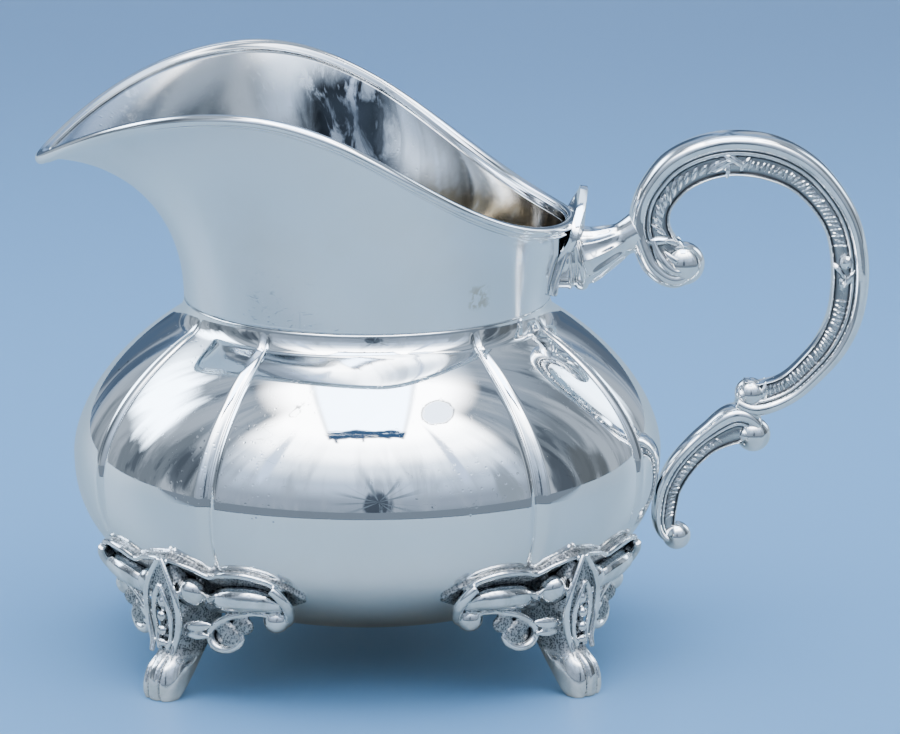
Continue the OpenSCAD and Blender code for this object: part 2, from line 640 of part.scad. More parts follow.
module foot_side(side) {
    ball = hook_ball_shares;
    line_on_bowl(rim_shares, side, 3);
    line_on_bowl(rib_shares, side, 5);
    translate(foot_place(side * ball[0] * arm_angle, ball[1], ball[2] * arm_r))
        sphere(hook_ball_r_share * arm_r, $fn = 6);
    translate(foot_place(side * boss_shares[0] * arm_angle, boss_shares[1], boss_shares[2] * boss_r))
        sphere(boss_r, $fn = 7);
    rings = [for (s = backplate_shares) [for (q = backplate_section_shares)
        foot_place(side * s[0] * arm_angle, mix(s[2], s[1], q[0]), q[1] * backplate_t)]];
    mirrored_skin(side, rings);
    bar([for (s = volute_shares) leg_place(foot_r + s[2] * hoof_w, s[1] * mid_z, side * s[0] * hoof_w)],
        [for (s = volute_shares) s[3] * arm_r], 4);
    hull()
        for (s = volute_face_shares)
            translate(leg_place(foot_r + s[2] * hoof_w, s[1] * mid_z, side * s[0] * hoof_w))
                sphere(volute_face_r_share * boss_r, $fn = 5);
    // small leaf between the volute and the leg
    hull() {
        translate(leg_place(foot_r - 0.2 * hoof_w, 0.36 * mid_z, side * 0.45 * hoof_w))
            sphere(0.16 * hoof_w, $fn = 5);
        translate(leg_place(foot_r - 0.4 * hoof_w, 0.42 * mid_z, side * 1.35 * hoof_w))
            sphere(0.09 * hoof_w, $fn = 4);
    }
}

// A skin whose rings turn the other way on the other side
module mirrored_skin(side, rings) {
    n = len(rings[0]);
    turned_rings = side > 0 ? rings : [for (ring = rings) [for (i = [n - 1 : -1 : 0]) ring[i]]];
    first = rings[0];
    end = rings[len(rings) - 1];
    ring_skin(turned_rings, (first[0] + first[n / 2]) / 2, (end[0] + end[n / 2]) / 2);
}

function leg_level(s) = s < 1 ? s * hoof_h : mix(hoof_h, leaf_top_share * mid_z, s - 1);

module foot_leg() {
    rings = [for (s = leg_shares) let (
            back = foot_r + s[1] * hoof_w, front = foot_r + s[2] * hoof_w,
            half_depth = (front - back) / 2, level = leg_level(s[0]))
        [for (q = leg_outline) let (cleft = q[2] * s[4] * hoof_w)
            leg_place(front - half_depth * (1 - q[1]) - cleft, level, q[0] * s[3] * hoof_w)]];
    last = len(leg_shares) - 1;
    function ring_middle(s) = leg_place(foot_r + (s[1] + s[2]) / 2 * hoof_w, leg_level(s[0]));
    ring_skin(rings, ring_middle(leg_shares[0]), ring_middle(leg_shares[last]));
    // pointed leaf with its row of beads
    leaf_r = 0.12 * leaf_w;
    hull() {
        translate(foot_place(0, leaf_top_share, leaf_r)) sphere(0.6 * leaf_r, $fn = 4);
        for (side = [-1, 1])
            translate(leg_place(foot_r + 0.14 * leaf_w, 0.6 * mid_z, side * 0.26 * leaf_w))
                sphere(leaf_r, $fn = 4);
        translate(leg_place(foot_r + 0.24 * leaf_w, 0.58 * mid_z)) sphere(leaf_r, $fn = 5);
        translate(leg_place(foot_r + 0.28 * leaf_w, 0.48 * mid_z)) sphere(0.8 * leaf_r, $fn = 4);
    }
    for (level = leaf_bead_shares)
        hull()
            for (depth = [0, 1])
                translate(leg_place(foot_r + 0.27 * leaf_w - depth * leaf_bead_r, level * mid_z))
                    sphere(leaf_bead_r, $fn = 5);
}

module foot() {
    color(oxidised_silver) difference() {
        union() {
            foot_leg();
            foot_side(-1);
            foot_side(1);
        }
        bowl_form();
        translate([0, 0, -overrun]) cube([2 * foot_r, 2 * foot_r, overrun]);
    }
}

module foot_front_left() { placed() mirror([1, 0, 0]) mirror([0, 1, 0]) foot(); }
module foot_front_right() { placed() mirror([0, 1, 0]) foot(); }
module foot_back_left() { placed() mirror([1, 0, 0]) foot(); }
module foot_back_right() { placed() foot(); }

bowl();
neck();
rim_wire();
socket_plate();
socket_bell();
upper_scroll();
lower_scroll();
foot_front_left();
foot_front_right();
foot_back_left();
foot_back_right();
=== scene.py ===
import math
import bpy
import numpy as np
from mathutils import Matrix, Vector
from mathutils.bvhtree import BVHTree


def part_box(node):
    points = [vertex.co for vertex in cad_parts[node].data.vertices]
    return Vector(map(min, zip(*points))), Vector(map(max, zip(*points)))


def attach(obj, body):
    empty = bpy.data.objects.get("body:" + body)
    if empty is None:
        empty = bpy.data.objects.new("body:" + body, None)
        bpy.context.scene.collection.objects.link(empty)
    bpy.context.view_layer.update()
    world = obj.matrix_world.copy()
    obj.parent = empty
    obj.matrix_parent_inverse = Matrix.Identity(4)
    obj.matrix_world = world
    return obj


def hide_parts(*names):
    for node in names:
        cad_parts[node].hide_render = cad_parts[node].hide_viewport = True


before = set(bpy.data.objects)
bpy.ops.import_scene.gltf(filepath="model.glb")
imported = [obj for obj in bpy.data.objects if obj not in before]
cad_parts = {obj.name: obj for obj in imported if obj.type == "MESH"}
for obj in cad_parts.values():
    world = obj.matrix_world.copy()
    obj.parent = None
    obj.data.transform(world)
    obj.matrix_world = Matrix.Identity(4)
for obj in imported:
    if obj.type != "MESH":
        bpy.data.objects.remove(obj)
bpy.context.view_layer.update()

mm = 0.001  # every size below is in millimetres, and the meshes are in metres
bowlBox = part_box("bowl")
axisX = (bowlBox[0][0] + bowlBox[1][0]) / 2  # the bowl's upright axis in the frame, in metres
print("frame loaded, bowl axis at x =", round(axisX / mm, 2), "mm")


# Small sums that every piece uses
def smooth(x):
    c = np.clip(x, 0, 1)
    return c * c * (3 - 2 * c)


def mixed(a, b, share):
    return a + (b - a) * share


def unit(v):
    v = np.asarray(v, dtype=float)
    return v / np.maximum(np.linalg.norm(v, axis=-1, keepdims=True), 1e-12)


def cosd(angle):
    return np.cos(np.radians(angle))


def sind(angle):
    return np.sin(np.radians(angle))


def turningPoint(low, high, isLow):
    # where a test stops being true, found by halving
    for _ in range(40):
        middle = (low + high) / 2
        low, high = (middle, high) if isLow(middle) else (low, middle)
    return low


def polar(radius, azimuth, z):
    # points by their distance from the bowl's axis, their turn and their height
    return np.stack(np.broadcast_arrays(radius * cosd(azimuth), radius * sind(azimuth), z), -1)


def curveThrough(points, steps, closed=False):
    # a smooth curve through points, with the same count of steps between each two
    p = np.asarray(points, dtype=float)
    count = len(p)
    spans = count if closed else count - 1
    u = np.linspace(0, spans, spans * steps + (0 if closed else 1), endpoint=not closed)
    i = np.minimum(np.floor(u).astype(int), spans - 1)
    x = (u - i)[:, None]
    if closed:
        a, b, c, d = p[(i - 1) % count], p[i], p[(i + 1) % count], p[(i + 2) % count]
    else:
        a, b = p[np.maximum(i - 1, 0)], p[i]
        c, d = p[i + 1], p[np.minimum(i + 2, count - 1)]
    return (2 * b + (c - a) * x + (2 * a - 5 * b + 4 * c - d) * x ** 2 + (3 * b - a - 3 * c + d) * x ** 3) / 2


# Mesh making: a shape is a pair of points and faces
def loft(rings, joined=False, capped=True):
    rings = np.asarray(rings, dtype=float)
    count, sides = rings.shape[:2]
    points = rings.reshape(-1, 3)
    k, i = np.meshgrid(np.arange(count if joined else count - 1), np.arange(sides), indexing="ij")
    after, beside = (k + 1) % count, (i + 1) % sides
    faces = np.stack([k * sides + i, k * sides + beside, after * sides + beside, after * sides + i], -1)
    faces = [tuple(f) for f in faces.reshape(-1, 4).tolist()]
    if not joined and capped:
        hubs = [rings[0].mean(axis=0), rings[-1].mean(axis=0)]
        points = np.vstack([points, hubs])
        first, last = count * sides, (count - 1) * sides
        faces += [(first, (j + 1) % sides, j) for j in range(sides)]
        faces += [(first + 1, last + j, last + (j + 1) % sides) for j in range(sides)]
    return outward(points, faces)


def signedVolume(points, faces):
    total = 0.0
    for count in (3, 4):
        table = np.array([f for f in faces if len(f) == count], dtype=int).reshape(-1, count)
        for k in range(1, count - 1):
            a, b, c = points[table[:, 0]], points[table[:, k]], points[table[:, k + 1]]
            total += np.einsum("ij,ij->i", a, np.cross(b, c)).sum()
    return total / 6


def outward(points, faces):
    if signedVolume(points, faces) < 0:
        faces = [tuple(reversed(f)) for f in faces]
    return points, faces


def withHubs(values):
    # values for a capped loft, whose two hubs come last and take nought
    values = np.asarray(values, dtype=float)
    return np.concatenate([values, np.zeros((2,) + values.shape[1:])])


def joinShapes(shapes):
    points, faces, first = [], [], 0
    for shapePoints, shapeFaces in shapes:
        points.append(shapePoints)
        faces += [tuple(first + i for i in f) for f in shapeFaces]
        first += len(shapePoints)
    return np.vstack(points), faces


def ball(centre, radii, rings, sides, turn=None):
    # a ball, or an egg with its own radius along each axis, turned by a matrix of three axes
    turn = np.eye(3) if turn is None else np.asarray(turn)
    level = np.linspace(0, math.pi, rings + 1)[1:-1]
    around = np.linspace(0, 2 * math.pi, sides, endpoint=False)
    body = [np.stack([np.sin(a) * np.cos(around), np.sin(a) * np.sin(around), np.full(sides, np.cos(a))], -1)
            for a in level]
    points, faces = loft(body)
    points[-2], points[-1] = [0, 0, 1], [0, 0, -1]
    return outward(points * np.asarray(radii) @ turn + np.asarray(centre), faces)


def tube(path, radii, up, flat=1.0, sides=14):
    # a round bar along a path, flattened across its up side by the share flat
    p = np.asarray(path, dtype=float)
    along = unit(np.gradient(p, axis=0))
    side = unit(np.cross(along, np.broadcast_to(up, p.shape)))
    rise = np.cross(side, along)
    around = np.linspace(0, 2 * math.pi, sides, endpoint=False)
    r = np.broadcast_to(radii, len(p))[:, None, None]
    rings = p[:, None] + r * (side[:, None] * np.cos(around)[None, :, None]
                              + rise[:, None] * np.sin(around)[None, :, None] * flat)
    return loft(rings)


def meshObject(name, shape, attributes=None):
    # points in millimetres from the bowl's axis become a mesh in the frame's metres
    points, faces = shape
    placed = np.asarray(points) * mm + np.array([axisX, 0, 0])
    mesh = bpy.data.meshes.new(name)
    mesh.from_pydata([tuple(p) for p in placed.tolist()], [], faces)
    for attributeName, values in (attributes or {}).items():
        values = np.asarray(values, dtype=float)
        kind = "FLOAT_VECTOR" if values.ndim == 2 else "FLOAT"
        layer = mesh.attributes.new(attributeName, kind, "POINT")
        layer.data.foreach_set("vector" if values.ndim == 2 else "value", values.ravel())
    mesh.validate()
    mesh.shade_smooth()
    piece = bpy.data.objects.new(name, mesh)
    bpy.context.scene.collection.objects.link(piece)
    return piece


def finishPiece(piece, node, material=None):
    if material:
        piece.data.materials.clear()
        piece.data.materials.append(material)
    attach(piece, "root")
    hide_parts(node)
    print(piece.name, "made")


# Node trees
class NodeTools:
    # short ways to add nodes to one tree
    def __init__(self, tree):
        self.tree = tree

    def feed(self, node, inputs):
        # an input takes a plain value or the output of another node
        for key, value in inputs.items():
            if isinstance(value, bpy.types.NodeSocket):
                self.tree.links.new(value, node.inputs[key])
            else:
                node.inputs[key].default_value = value
        return node

    def add(self, kind, inputs=None, **settings):
        node = self.tree.nodes.new(kind)
        for key, value in settings.items():
            setattr(node, key, value)
        return self.feed(node, inputs or {})

    def sums(self, operation, *parts, **settings):
        return self.add("ShaderNodeMath", dict(enumerate(parts)), operation=operation, **settings).outputs[0]

    def vector(self, operation, inputs):
        return self.add("ShaderNodeVectorMath", inputs, operation=operation).outputs[0]

    def split(self, place):
        return self.add("ShaderNodeSeparateXYZ", {0: place}).outputs

    def ramp(self, value, low, high, start=0.0, end=1.0, shape="SMOOTHSTEP"):
        inputs = {"Value": value, "From Min": low, "From Max": high, "To Min": start, "To Max": end}
        return self.add("ShaderNodeMapRange", inputs, interpolation_type=shape).outputs[0]

    def line(self, value, low, high, start=0.0, end=1.0):
        return self.ramp(value, low, high, start, end, "LINEAR")

    def over(self, below, colour, mask):
        inputs = {"Factor": mask, "A": below, "B": colour}
        return self.add("ShaderNodeMix", inputs, data_type="RGBA").outputs["Result"]

    def noise(self, place, scale, detail=3.0, distortion=0.0, roughness=0.5):
        inputs = {"Vector": place, "Scale": scale, "Detail": detail, "Roughness": roughness,
                  "Distortion": distortion}
        return self.add("ShaderNodeTexNoise", inputs).outputs[0]

    def attribute(self, name, kind="FLOAT"):
        node = self.add("GeometryNodeInputNamedAttribute", {"Name": name}, data_type=kind)
        return node.outputs["Attribute"]

    def place(self):
        return self.add("ShaderNodeTexCoord").outputs["Object"]


def newTree(name, kind, inputs, outputs):
    # a node group with named sockets, as its tools and the outputs of its input node
    tree = bpy.data.node_groups.new(name, kind + "NodeTree")
    for direction, sockets in (("INPUT", inputs), ("OUTPUT", outputs)):
        for socketName, socketKind, *default in sockets:
            socketKind = "NodeSocket" + socketKind
            socket = tree.interface.new_socket(socketName, in_out=direction, socket_type=socketKind)
            if default:
                socket.default_value = default[0]
    n = NodeTools(tree)
    return n, n.add("NodeGroupInput").outputs


def shapeTree(name, inputs):
    # a geometry tree, with the sockets that each of them has
    return newTree(name, "Geometry", [("Geometry", "Geometry")] + inputs + [("Material", "Material")],
                   [("Geometry", "Geometry")])


def finishTree(n, given, geometry):
    real = n.add("GeometryNodeRealizeInstances", {"Geometry": geometry}).outputs[0]
    painted = n.add("GeometryNodeSetMaterial", {"Geometry": real, "Material": given["Material"]}).outputs[0]
    n.add("NodeGroupOutput", {"Geometry": painted})
    return n.tree


def runTree(piece, tree, values):
    # run a node tree on a piece, and keep the result as a plain mesh
    modifier = piece.modifiers.new(tree.name, "NODES")
    modifier.node_group = tree
    sockets = {s.name: s.identifier for s in tree.interface.items_tree
               if s.item_type == "SOCKET" and s.in_out == "INPUT"}
    for socketName, value in values.items():
        modifier[sockets[socketName]] = value
    applyModifiers(piece)


def applyModifiers(piece):
    bpy.context.view_layer.update()
    evaluated = piece.evaluated_get(bpy.context.evaluated_depsgraph_get())
    mesh = bpy.data.meshes.new_from_object(evaluated)
    mesh.name = piece.name
    piece.modifiers.clear()
    piece.data = mesh


def runModifier(piece, kind, **settings):
    modifier = piece.modifiers.new(kind.lower(), kind)
    for key, value in settings.items():
        setattr(modifier, key, value)
    applyModifiers(piece)


# Shader groups that the silver finishes share: edges are where a noise turns into a mark
wear = {
    # turn and stretch of each set of scratches
    "scratches": ((0.4, (60, 900, 1300)), (1.3, (1100, 80, 700)), (2.3, (700, 1200, 90))),
    "turnShares": (1, 0.7, 1.9), "scratchEdge": (0.62, 0.75), "scratchHeight": 0.02,
    "cloudEdge": (0.42, 0.72), "pitEdge": (0.22, 0.05), "pitHeight": 0.05, "patchScale": 45.0,
    "patchEdge": (0.56, 0.68),
}


def scratchGroup():
    n, given = newTree("fineScratches", "Shader", [("Scale", "Float", 1.0), ("Depth", "Float", 0.1)],
                       [("Normal", "Vector"), ("Mask", "Float")])
    place, mask = n.place(), 0.0
    for turn, stretch in wear["scratches"]:
        turned = n.add("ShaderNodeMapping", {
            "Vector": place, "Rotation": [turn * share for share in wear["turnShares"]], "Scale": stretch})
        fine = n.noise(turned.outputs[0], given["Scale"], roughness=0.65)
        mask = n.sums("MAXIMUM", mask, n.line(fine, *wear["scratchEdge"]))
    bump = n.add("ShaderNodeBump", {"Distance": wear["scratchHeight"] * mm, "Height": mask,
                                    "Strength": given["Depth"]}, invert=True)
    n.add("NodeGroupOutput", {"Normal": bump.outputs[0], "Mask": mask})
    return n.tree


def tarnishGroup():
    n, given = newTree("tarnish", "Shader",
                       [("Silver", "Color"), ("Film", "Color"), ("Amount", "Float", 0.2),
                        ("Scale", "Float", 60.0)],
                       [("Color", "Color"), ("Mask", "Float")])
    cloud = n.noise(n.place(), given["Scale"], 6.0, 0.6, 0.6)
    amount = n.sums("MULTIPLY", n.line(cloud, *wear["cloudEdge"]), given["Amount"])
    n.add("NodeGroupOutput", {"Color": n.over(given["Silver"], given["Film"], amount), "Mask": amount})
    return n.tree


def pittingGroup():
    n, given = newTree("pitting", "Shader",
                       [("Scale", "Float", 500.0), ("Amount", "Float", 0.5), ("Depth", "Float", 0.3),
                        ("Normal", "Vector")], [("Normal", "Vector"), ("Mask", "Float")])
    place = n.place()
    cells = n.add("ShaderNodeTexVoronoi", {"Vector": place, "Scale": given["Scale"], "Randomness": 1.0})
    patches = n.line(n.noise(place, wear["patchScale"], 2.0), *wear["patchEdge"])
    pits = n.sums("MULTIPLY", n.line(cells.outputs["Distance"], *wear["pitEdge"]), patches)
    amount = n.sums("MULTIPLY", pits, given["Amount"])
    bump = n.add("ShaderNodeBump", {"Distance": wear["pitHeight"] * mm, "Height": amount,
                                    "Strength": given["Depth"], "Normal": given["Normal"]}, invert=True)
    n.add("NodeGroupOutput", {"Normal": bump.outputs[0], "Mask": amount})
    return n.tree


sharedGroups = {"scratches": scratchGroup(), "tarnish": tarnishGroup(), "pitting": pittingGroup()}


def groupOutputs(n, name, inputs):
    return n.add("ShaderNodeGroup", inputs, node_tree=sharedGroups[name]).outputs


def stainedAndShaded(n, colour, face, along, heights, stretch, ragged, patchy, amount, stainAndShade):
    # a ragged patch of colour on one face of the neck, between two places along and two heights in
    # millimetres; it paints real stains and also painted shade and painted reflection inside the mouth
    place = n.place()
    parts = n.split(place)
    stretched = n.add("ShaderNodeMapping", {"Vector": place, "Scale": stretch}).outputs[0]
    cloud = n.noise(stretched, 1.0, 4.0, 0.7, 0.6)
    wander = n.sums("MULTIPLY", n.sums("SUBTRACT", cloud, 0.5), ragged * mm)
    mask = n.add("ShaderNodeAttribute", attribute_name="inside").outputs["Fac"]
    if face == "outside":
        mask = n.sums("SUBTRACT", 1.0, mask)
    for axis, low, high, soft in (("X", *along), ("Z", *heights)):
        moved = n.sums("ADD", parts[axis], wander)
        for edge, rise in ((low, soft), (high, -soft)):
            mask = n.sums("MULTIPLY", mask, n.ramp(moved, (edge - rise) * mm, (edge + rise) * mm))
    mask = n.sums("MULTIPLY", mask, n.line(cloud, *patchy))
    return n.over(colour, stainAndShade, n.sums("MULTIPLY", mask, amount))


def silverMaterial(name, finish):
    material = bpy.data.materials.new(name)
    material.use_nodes = True
    material.node_tree.nodes.clear()
    n = NodeTools(material.node_tree)
    scratches = groupOutputs(n, "scratches", {"Depth": finish["scratchDepth"]})
    pits = groupOutputs(n, "pitting", {"Scale": finish["pitScale"], "Amount": finish["pitAmount"],
                                       "Depth": finish["pitDepth"], "Normal": scratches["Normal"]})
    film = groupOutputs(n, "tarnish", {"Silver": finish["silver"], "Film": finish["film"],
                                       "Amount": finish["filmAmount"], "Scale": finish["filmScale"]})
    colour = film["Color"]
    rough = n.sums("ADD", n.sums("MULTIPLY", film["Mask"], finish["filmRough"]),
                   n.sums("MULTIPLY", scratches["Mask"], finish["scratchRough"]))
    rough = n.sums("ADD", rough, finish["roughness"], use_clamp=True)
    if "lowRough" in finish:  # the underside of the bowl is less finely polished
        height = n.split(n.place())["Z"]
        rough = n.sums("ADD", rough, n.line(height, *finish["lowHeights"], 0.0, finish["lowRough"]))
    if "recess" in finish:  # the mask of deep places is worked out with the mesh
        recess = n.add("ShaderNodeAttribute", attribute_name="recess").outputs["Fac"]
        deep = recess
        if "stipple" in finish:  # punched dots, whose ridges are left brighter
            cells = n.add("ShaderNodeTexVoronoi", {"Vector": n.place(), "Scale": finish["stipple"],
                                                   "Randomness": finish["dotSpread"]})
            dots = n.line(cells.outputs["Distance"], *finish["dotEdge"], finish["ridge"])
            deep = n.sums("MAXIMUM", n.sums("MULTIPLY", recess, dots), n.line(recess, *finish["solidDark"]))
        colour = n.over(colour, finish["recess"], deep)
        rough = n.sums("MULTIPLY_ADD", recess, finish["recessRough"], rough)
    # real stains, and painted shade and painted reflection inside the mouth
    for stainAndShade in finish.get("stainsAndShade", ()):
        colour = stainedAndShaded(n, colour, *stainAndShade)
    shader = n.add("ShaderNodeBsdfPrincipled", {"Metallic": 1.0, "Base Color": colour, "Roughness": rough,
                                                "Normal": pits["Normal"]})
    n.add("ShaderNodeOutputMaterial", {"Surface": shader.outputs[0]})
    return material


sheetFinish = {
    "silver": (0.93, 0.935, 0.94, 1), "film": (0.8, 0.78, 0.74, 1), "filmAmount": 0.5, "filmScale": 55.0,
    "filmRough": 0.03, "roughness": 0.025, "scratchDepth": 0.1, "scratchRough": 0.05, "pitScale": 900.0,
    "pitAmount": 0.6, "pitDepth": 0.5,
}
# real stains, painted shade and painted reflection of the neck: face; places along and heights with their
# softness; stretch, raggedness, patchiness, strength and colour
stainsAndShade = [
    # warm film over the back of the mouth and brown low down; in its middle painted shade and painted
    # reflection of dark folds, near black and dark grey, and a blue-grey painted reflection towards the tip
    ("inside", (-2, 60, 7), (40, 88, 4), (60, 60, 25), 12, (0.2, 0.55), 0.8, (0.5, 0.44, 0.36, 1)),
    ("inside", (-15, 60, 5), (40, 69.5, 3), (90, 90, 40), 8, (0.25, 0.45), 0.92, (0.16, 0.11, 0.05, 1)),
    # painted shade and painted reflection: mirrored dark folds, near black and dark grey
    ("inside", (-23, -9, 3), (55, 87, 3), (320, 320, 60), 7, (0.38, 0.5), 0.99, (0.004, 0.0042, 0.005, 1)),
    ("inside", (-22, -6, 4), (50, 84, 4), (60, 60, 30), 8, (0.3, 0.6), 0.88, (0.06, 0.065, 0.07, 1)),
    # painted reflection: blue-grey towards the tip
    ("inside", (-62, -49, 3), (60, 90, 3), (120, 60, 200), 8, (0.3, 0.5), 0.75, (0.2, 0.24, 0.3, 1)),
    # small tan stain low on the outside
    ("outside", (1.7, 4.6, 0.5), (60.2, 63.8, 0.5), (900, 900, 700), 2, (0.42, 0.52), 0.75,
     (0.6, 0.47, 0.34, 1)),
]
castFinish = dict(sheetFinish, roughness=0.07, film=(0.5, 0.48, 0.44, 1), filmScale=160.0,
                  recess=(0.03, 0.031, 0.034, 1), recessRough=0.4)
silvers = {
    "sheet": silverMaterial("polished sheet silver", dict(
        sheetFinish, lowRough=0.13, lowHeights=(29 * mm, 21 * mm))),
    "neck": silverMaterial("satin sheet silver", dict(
        sheetFinish, silver=(0.9, 0.92, 0.95, 1), roughness=0.1, filmRough=0.06, scratchDepth=0.2,
        stainsAndShade=stainsAndShade)),
    "wire": silverMaterial("drawn silver wire", dict(sheetFinish, roughness=0.06, filmAmount=0.25)),
    "cast": silverMaterial("cast and chased silver", castFinish),
    "foot": silverMaterial("oxidised cast silver", dict(
        castFinish, roughness=0.08, filmAmount=0.7, filmScale=240.0, recess=(0.012, 0.013, 0.015, 1),
        stipple=2700.0, dotSpread=0.85, ridge=0.5, dotEdge=(0.62, 0.3), solidDark=(0.86, 0.97))),
}


# Bowl: a spun form whose creases are pressed in by a node tree
bowl = {
    "radius": 47.0, "clearHeight": 6.0, "lowerHeight": 26.0, "shoulderHeight": 25.0, "sheet": 0.9,
    "corner": 4.0, "creaseDepth": 1.0, "creaseWidth": 1.9, "creasePower": 2.0, "creaseRise": 6.0,
    "creaseEnd": 0.12, "lowerPower": 2.3, "shoulderPower": 1.78, "wideLobeAngle": 33.5, "endLobeAngle": 65.0,
    "neckRadius": 29.2, "unevenness": 0.05, "waveScale": 45.0, "waveTop": 0.85, "lowerRings": 56,
    "shoulderRings": 44, "cornerRings": 14, "lobeSteps": (60, 46, 84, 46, 60, 46, 84, 46),
    "crowding": 0.1, "footSink": 0.4,
}
bowl["midZ"] = bowl["clearHeight"] + bowl["lowerHeight"]
bowl["seamZ"] = bowl["midZ"] + bowl["shoulderHeight"]


# The shoulder runs smoothly into a rounded corner under the neck
def cornerPoint(angle):
    corner = bowl["corner"]
    return bowl["neckRadius"] + corner * (1 - cosd(angle)), bowl["seamZ"] - corner * sind(angle)


def shoulderThrough(angle):
    # full height of the shoulder that passes through the corner's point, and its slope there
    r, z = cornerPoint(angle)
    power = bowl["shoulderPower"]
    full = (z - bowl["midZ"]) / (1 - (r / bowl["radius"]) ** power) ** (1 / power)
    u = (z - bowl["midZ"]) / full
    slope = bowl["radius"] / full * u ** (power - 1) * (1 - u ** power) ** (1 / power - 1)
    return full, math.degrees(math.atan(slope))


# the shoulder and the corner have the same slope where they meet
bowl["cornerAngle"] = turningPoint(5.0, 85.0, lambda angle: shoulderThrough(angle)[1] > angle)
bowl["fullShoulder"] = shoulderThrough(bowl["cornerAngle"])[0]
bowl["cornerZ"] = cornerPoint(bowl["cornerAngle"])[1]
end, wide = bowl["endLobeAngle"], bowl["wideLobeAngle"]
creaseAngles = np.array([end - 90, 90 - end, 90 - wide, 90 + wide, 90 + end, 270 - end, 270 - wide,
                         270 + wide, 270 + end])


def bowlProfile(z):
    z = np.asarray(z, dtype=float)
    low = np.clip((bowl["midZ"] - z) / bowl["lowerHeight"], 0, 1) ** bowl["lowerPower"]
    high = np.clip((z - bowl["midZ"]) / bowl["fullShoulder"], 0, 1) ** bowl["shoulderPower"]
    r = bowl["radius"] * np.where(z < bowl["midZ"], (1 - low) ** (1 / bowl["lowerPower"]),
                                  (1 - high) ** (1 / bowl["shoulderPower"]))
    angle = np.degrees(np.arcsin(np.clip((bowl["seamZ"] - z) / bowl["corner"], 0, 1)))
    return np.where(z < bowl["cornerZ"], r, cornerPoint(angle)[0])


def lobeEdge(azimuth):
    # one at the bottom of each crease, and nought on the lobes between them
    a = (np.asarray(azimuth, dtype=float) - creaseAngles[0]) % 360 + creaseAngles[0]
    i = np.clip(np.searchsorted(creaseAngles, a, side="right") - 1, 0, 7)
    middle = (creaseAngles[i] + creaseAngles[i + 1]) / 2
    room = creaseAngles[i + 1] - middle - np.abs(a - middle)
    return np.clip(1 - room / math.degrees(bowl["creaseWidth"] / bowl["radius"]), 0, 1)


def creaseFade(z):
    low = smooth((z - bowl["clearHeight"] - bowl["creaseEnd"] * bowl["lowerHeight"])
                 / (bowl["lowerHeight"] * (1 - bowl["creaseEnd"])))
    return np.where(z < bowl["midZ"], low, smooth((bowl["seamZ"] - z) / bowl["creaseRise"]))


def bowlSlope(z):
    step = bowl["lowerHeight"] / 200
    low, high = np.maximum(bowl["clearHeight"] + step, z - step), np.minimum(bowl["seamZ"], z + step)
    return unit(np.stack([high - low, bowlProfile(low) - bowlProfile(high)], -1))


def bowlRadius(azimuth, z, sink=1.0):
    crease = bowl["creaseDepth"] * lobeEdge(azimuth) ** bowl["creasePower"] * creaseFade(z)
    return bowlProfile(z) - sink * crease


def onBowl(azimuth, z, off, sink=1.0):
    slope = bowlSlope(z)
    return polar(bowlRadius(azimuth, z, sink) + off * slope[..., 0], azimuth, z + off * slope[..., 1])


def lobeTree():
    # presses the creases into a round shell, and adds the slight waviness of hand-finished sheet
    n, given = shapeTree("pressedLobes", [("Axis X", "Float", 0.0), ("Crease Depth", "Float", 0.002),
                                          ("Crease Power", "Float", 2.0), ("Unevenness", "Float", 0.00005),
                                          ("Seed", "Float", 3.0)])
    fade = n.attribute("creaseFade")
    pull = n.sums("MULTIPLY", n.sums("POWER", n.attribute("lobeEdge"), given["Crease Power"]), fade)
    pull = n.sums("MULTIPLY", pull, given["Crease Depth"])
    axis = n.add("ShaderNodeCombineXYZ", {"X": given["Axis X"]}).outputs[0]
    fromAxis = n.vector("SUBTRACT", {0: n.add("GeometryNodeInputPosition").outputs[0], 1: axis})
    radial = n.vector("NORMALIZE", {0: n.vector("MULTIPLY", {0: fromAxis, 1: (1, 1, 0)})})
    waves = n.add("ShaderNodeTexNoise", {"Scale": bowl["waveScale"], "Detail": 1.0, "Vector": fromAxis,
                                         "W": given["Seed"]}, noise_dimensions="4D").outputs[0]
    waves = n.sums("MULTIPLY", n.sums("SUBTRACT", waves, bowl["waveTop"]), fade)
    total = n.sums("SUBTRACT", n.sums("MULTIPLY", waves, given["Unevenness"]), pull)
    moved = n.add("GeometryNodeSetPosition", {"Geometry": given["Geometry"],
                                              "Offset": n.vector("SCALE", {0: radial, "Scale": total})})
    return finishTree(n, given, moved.outputs[0])


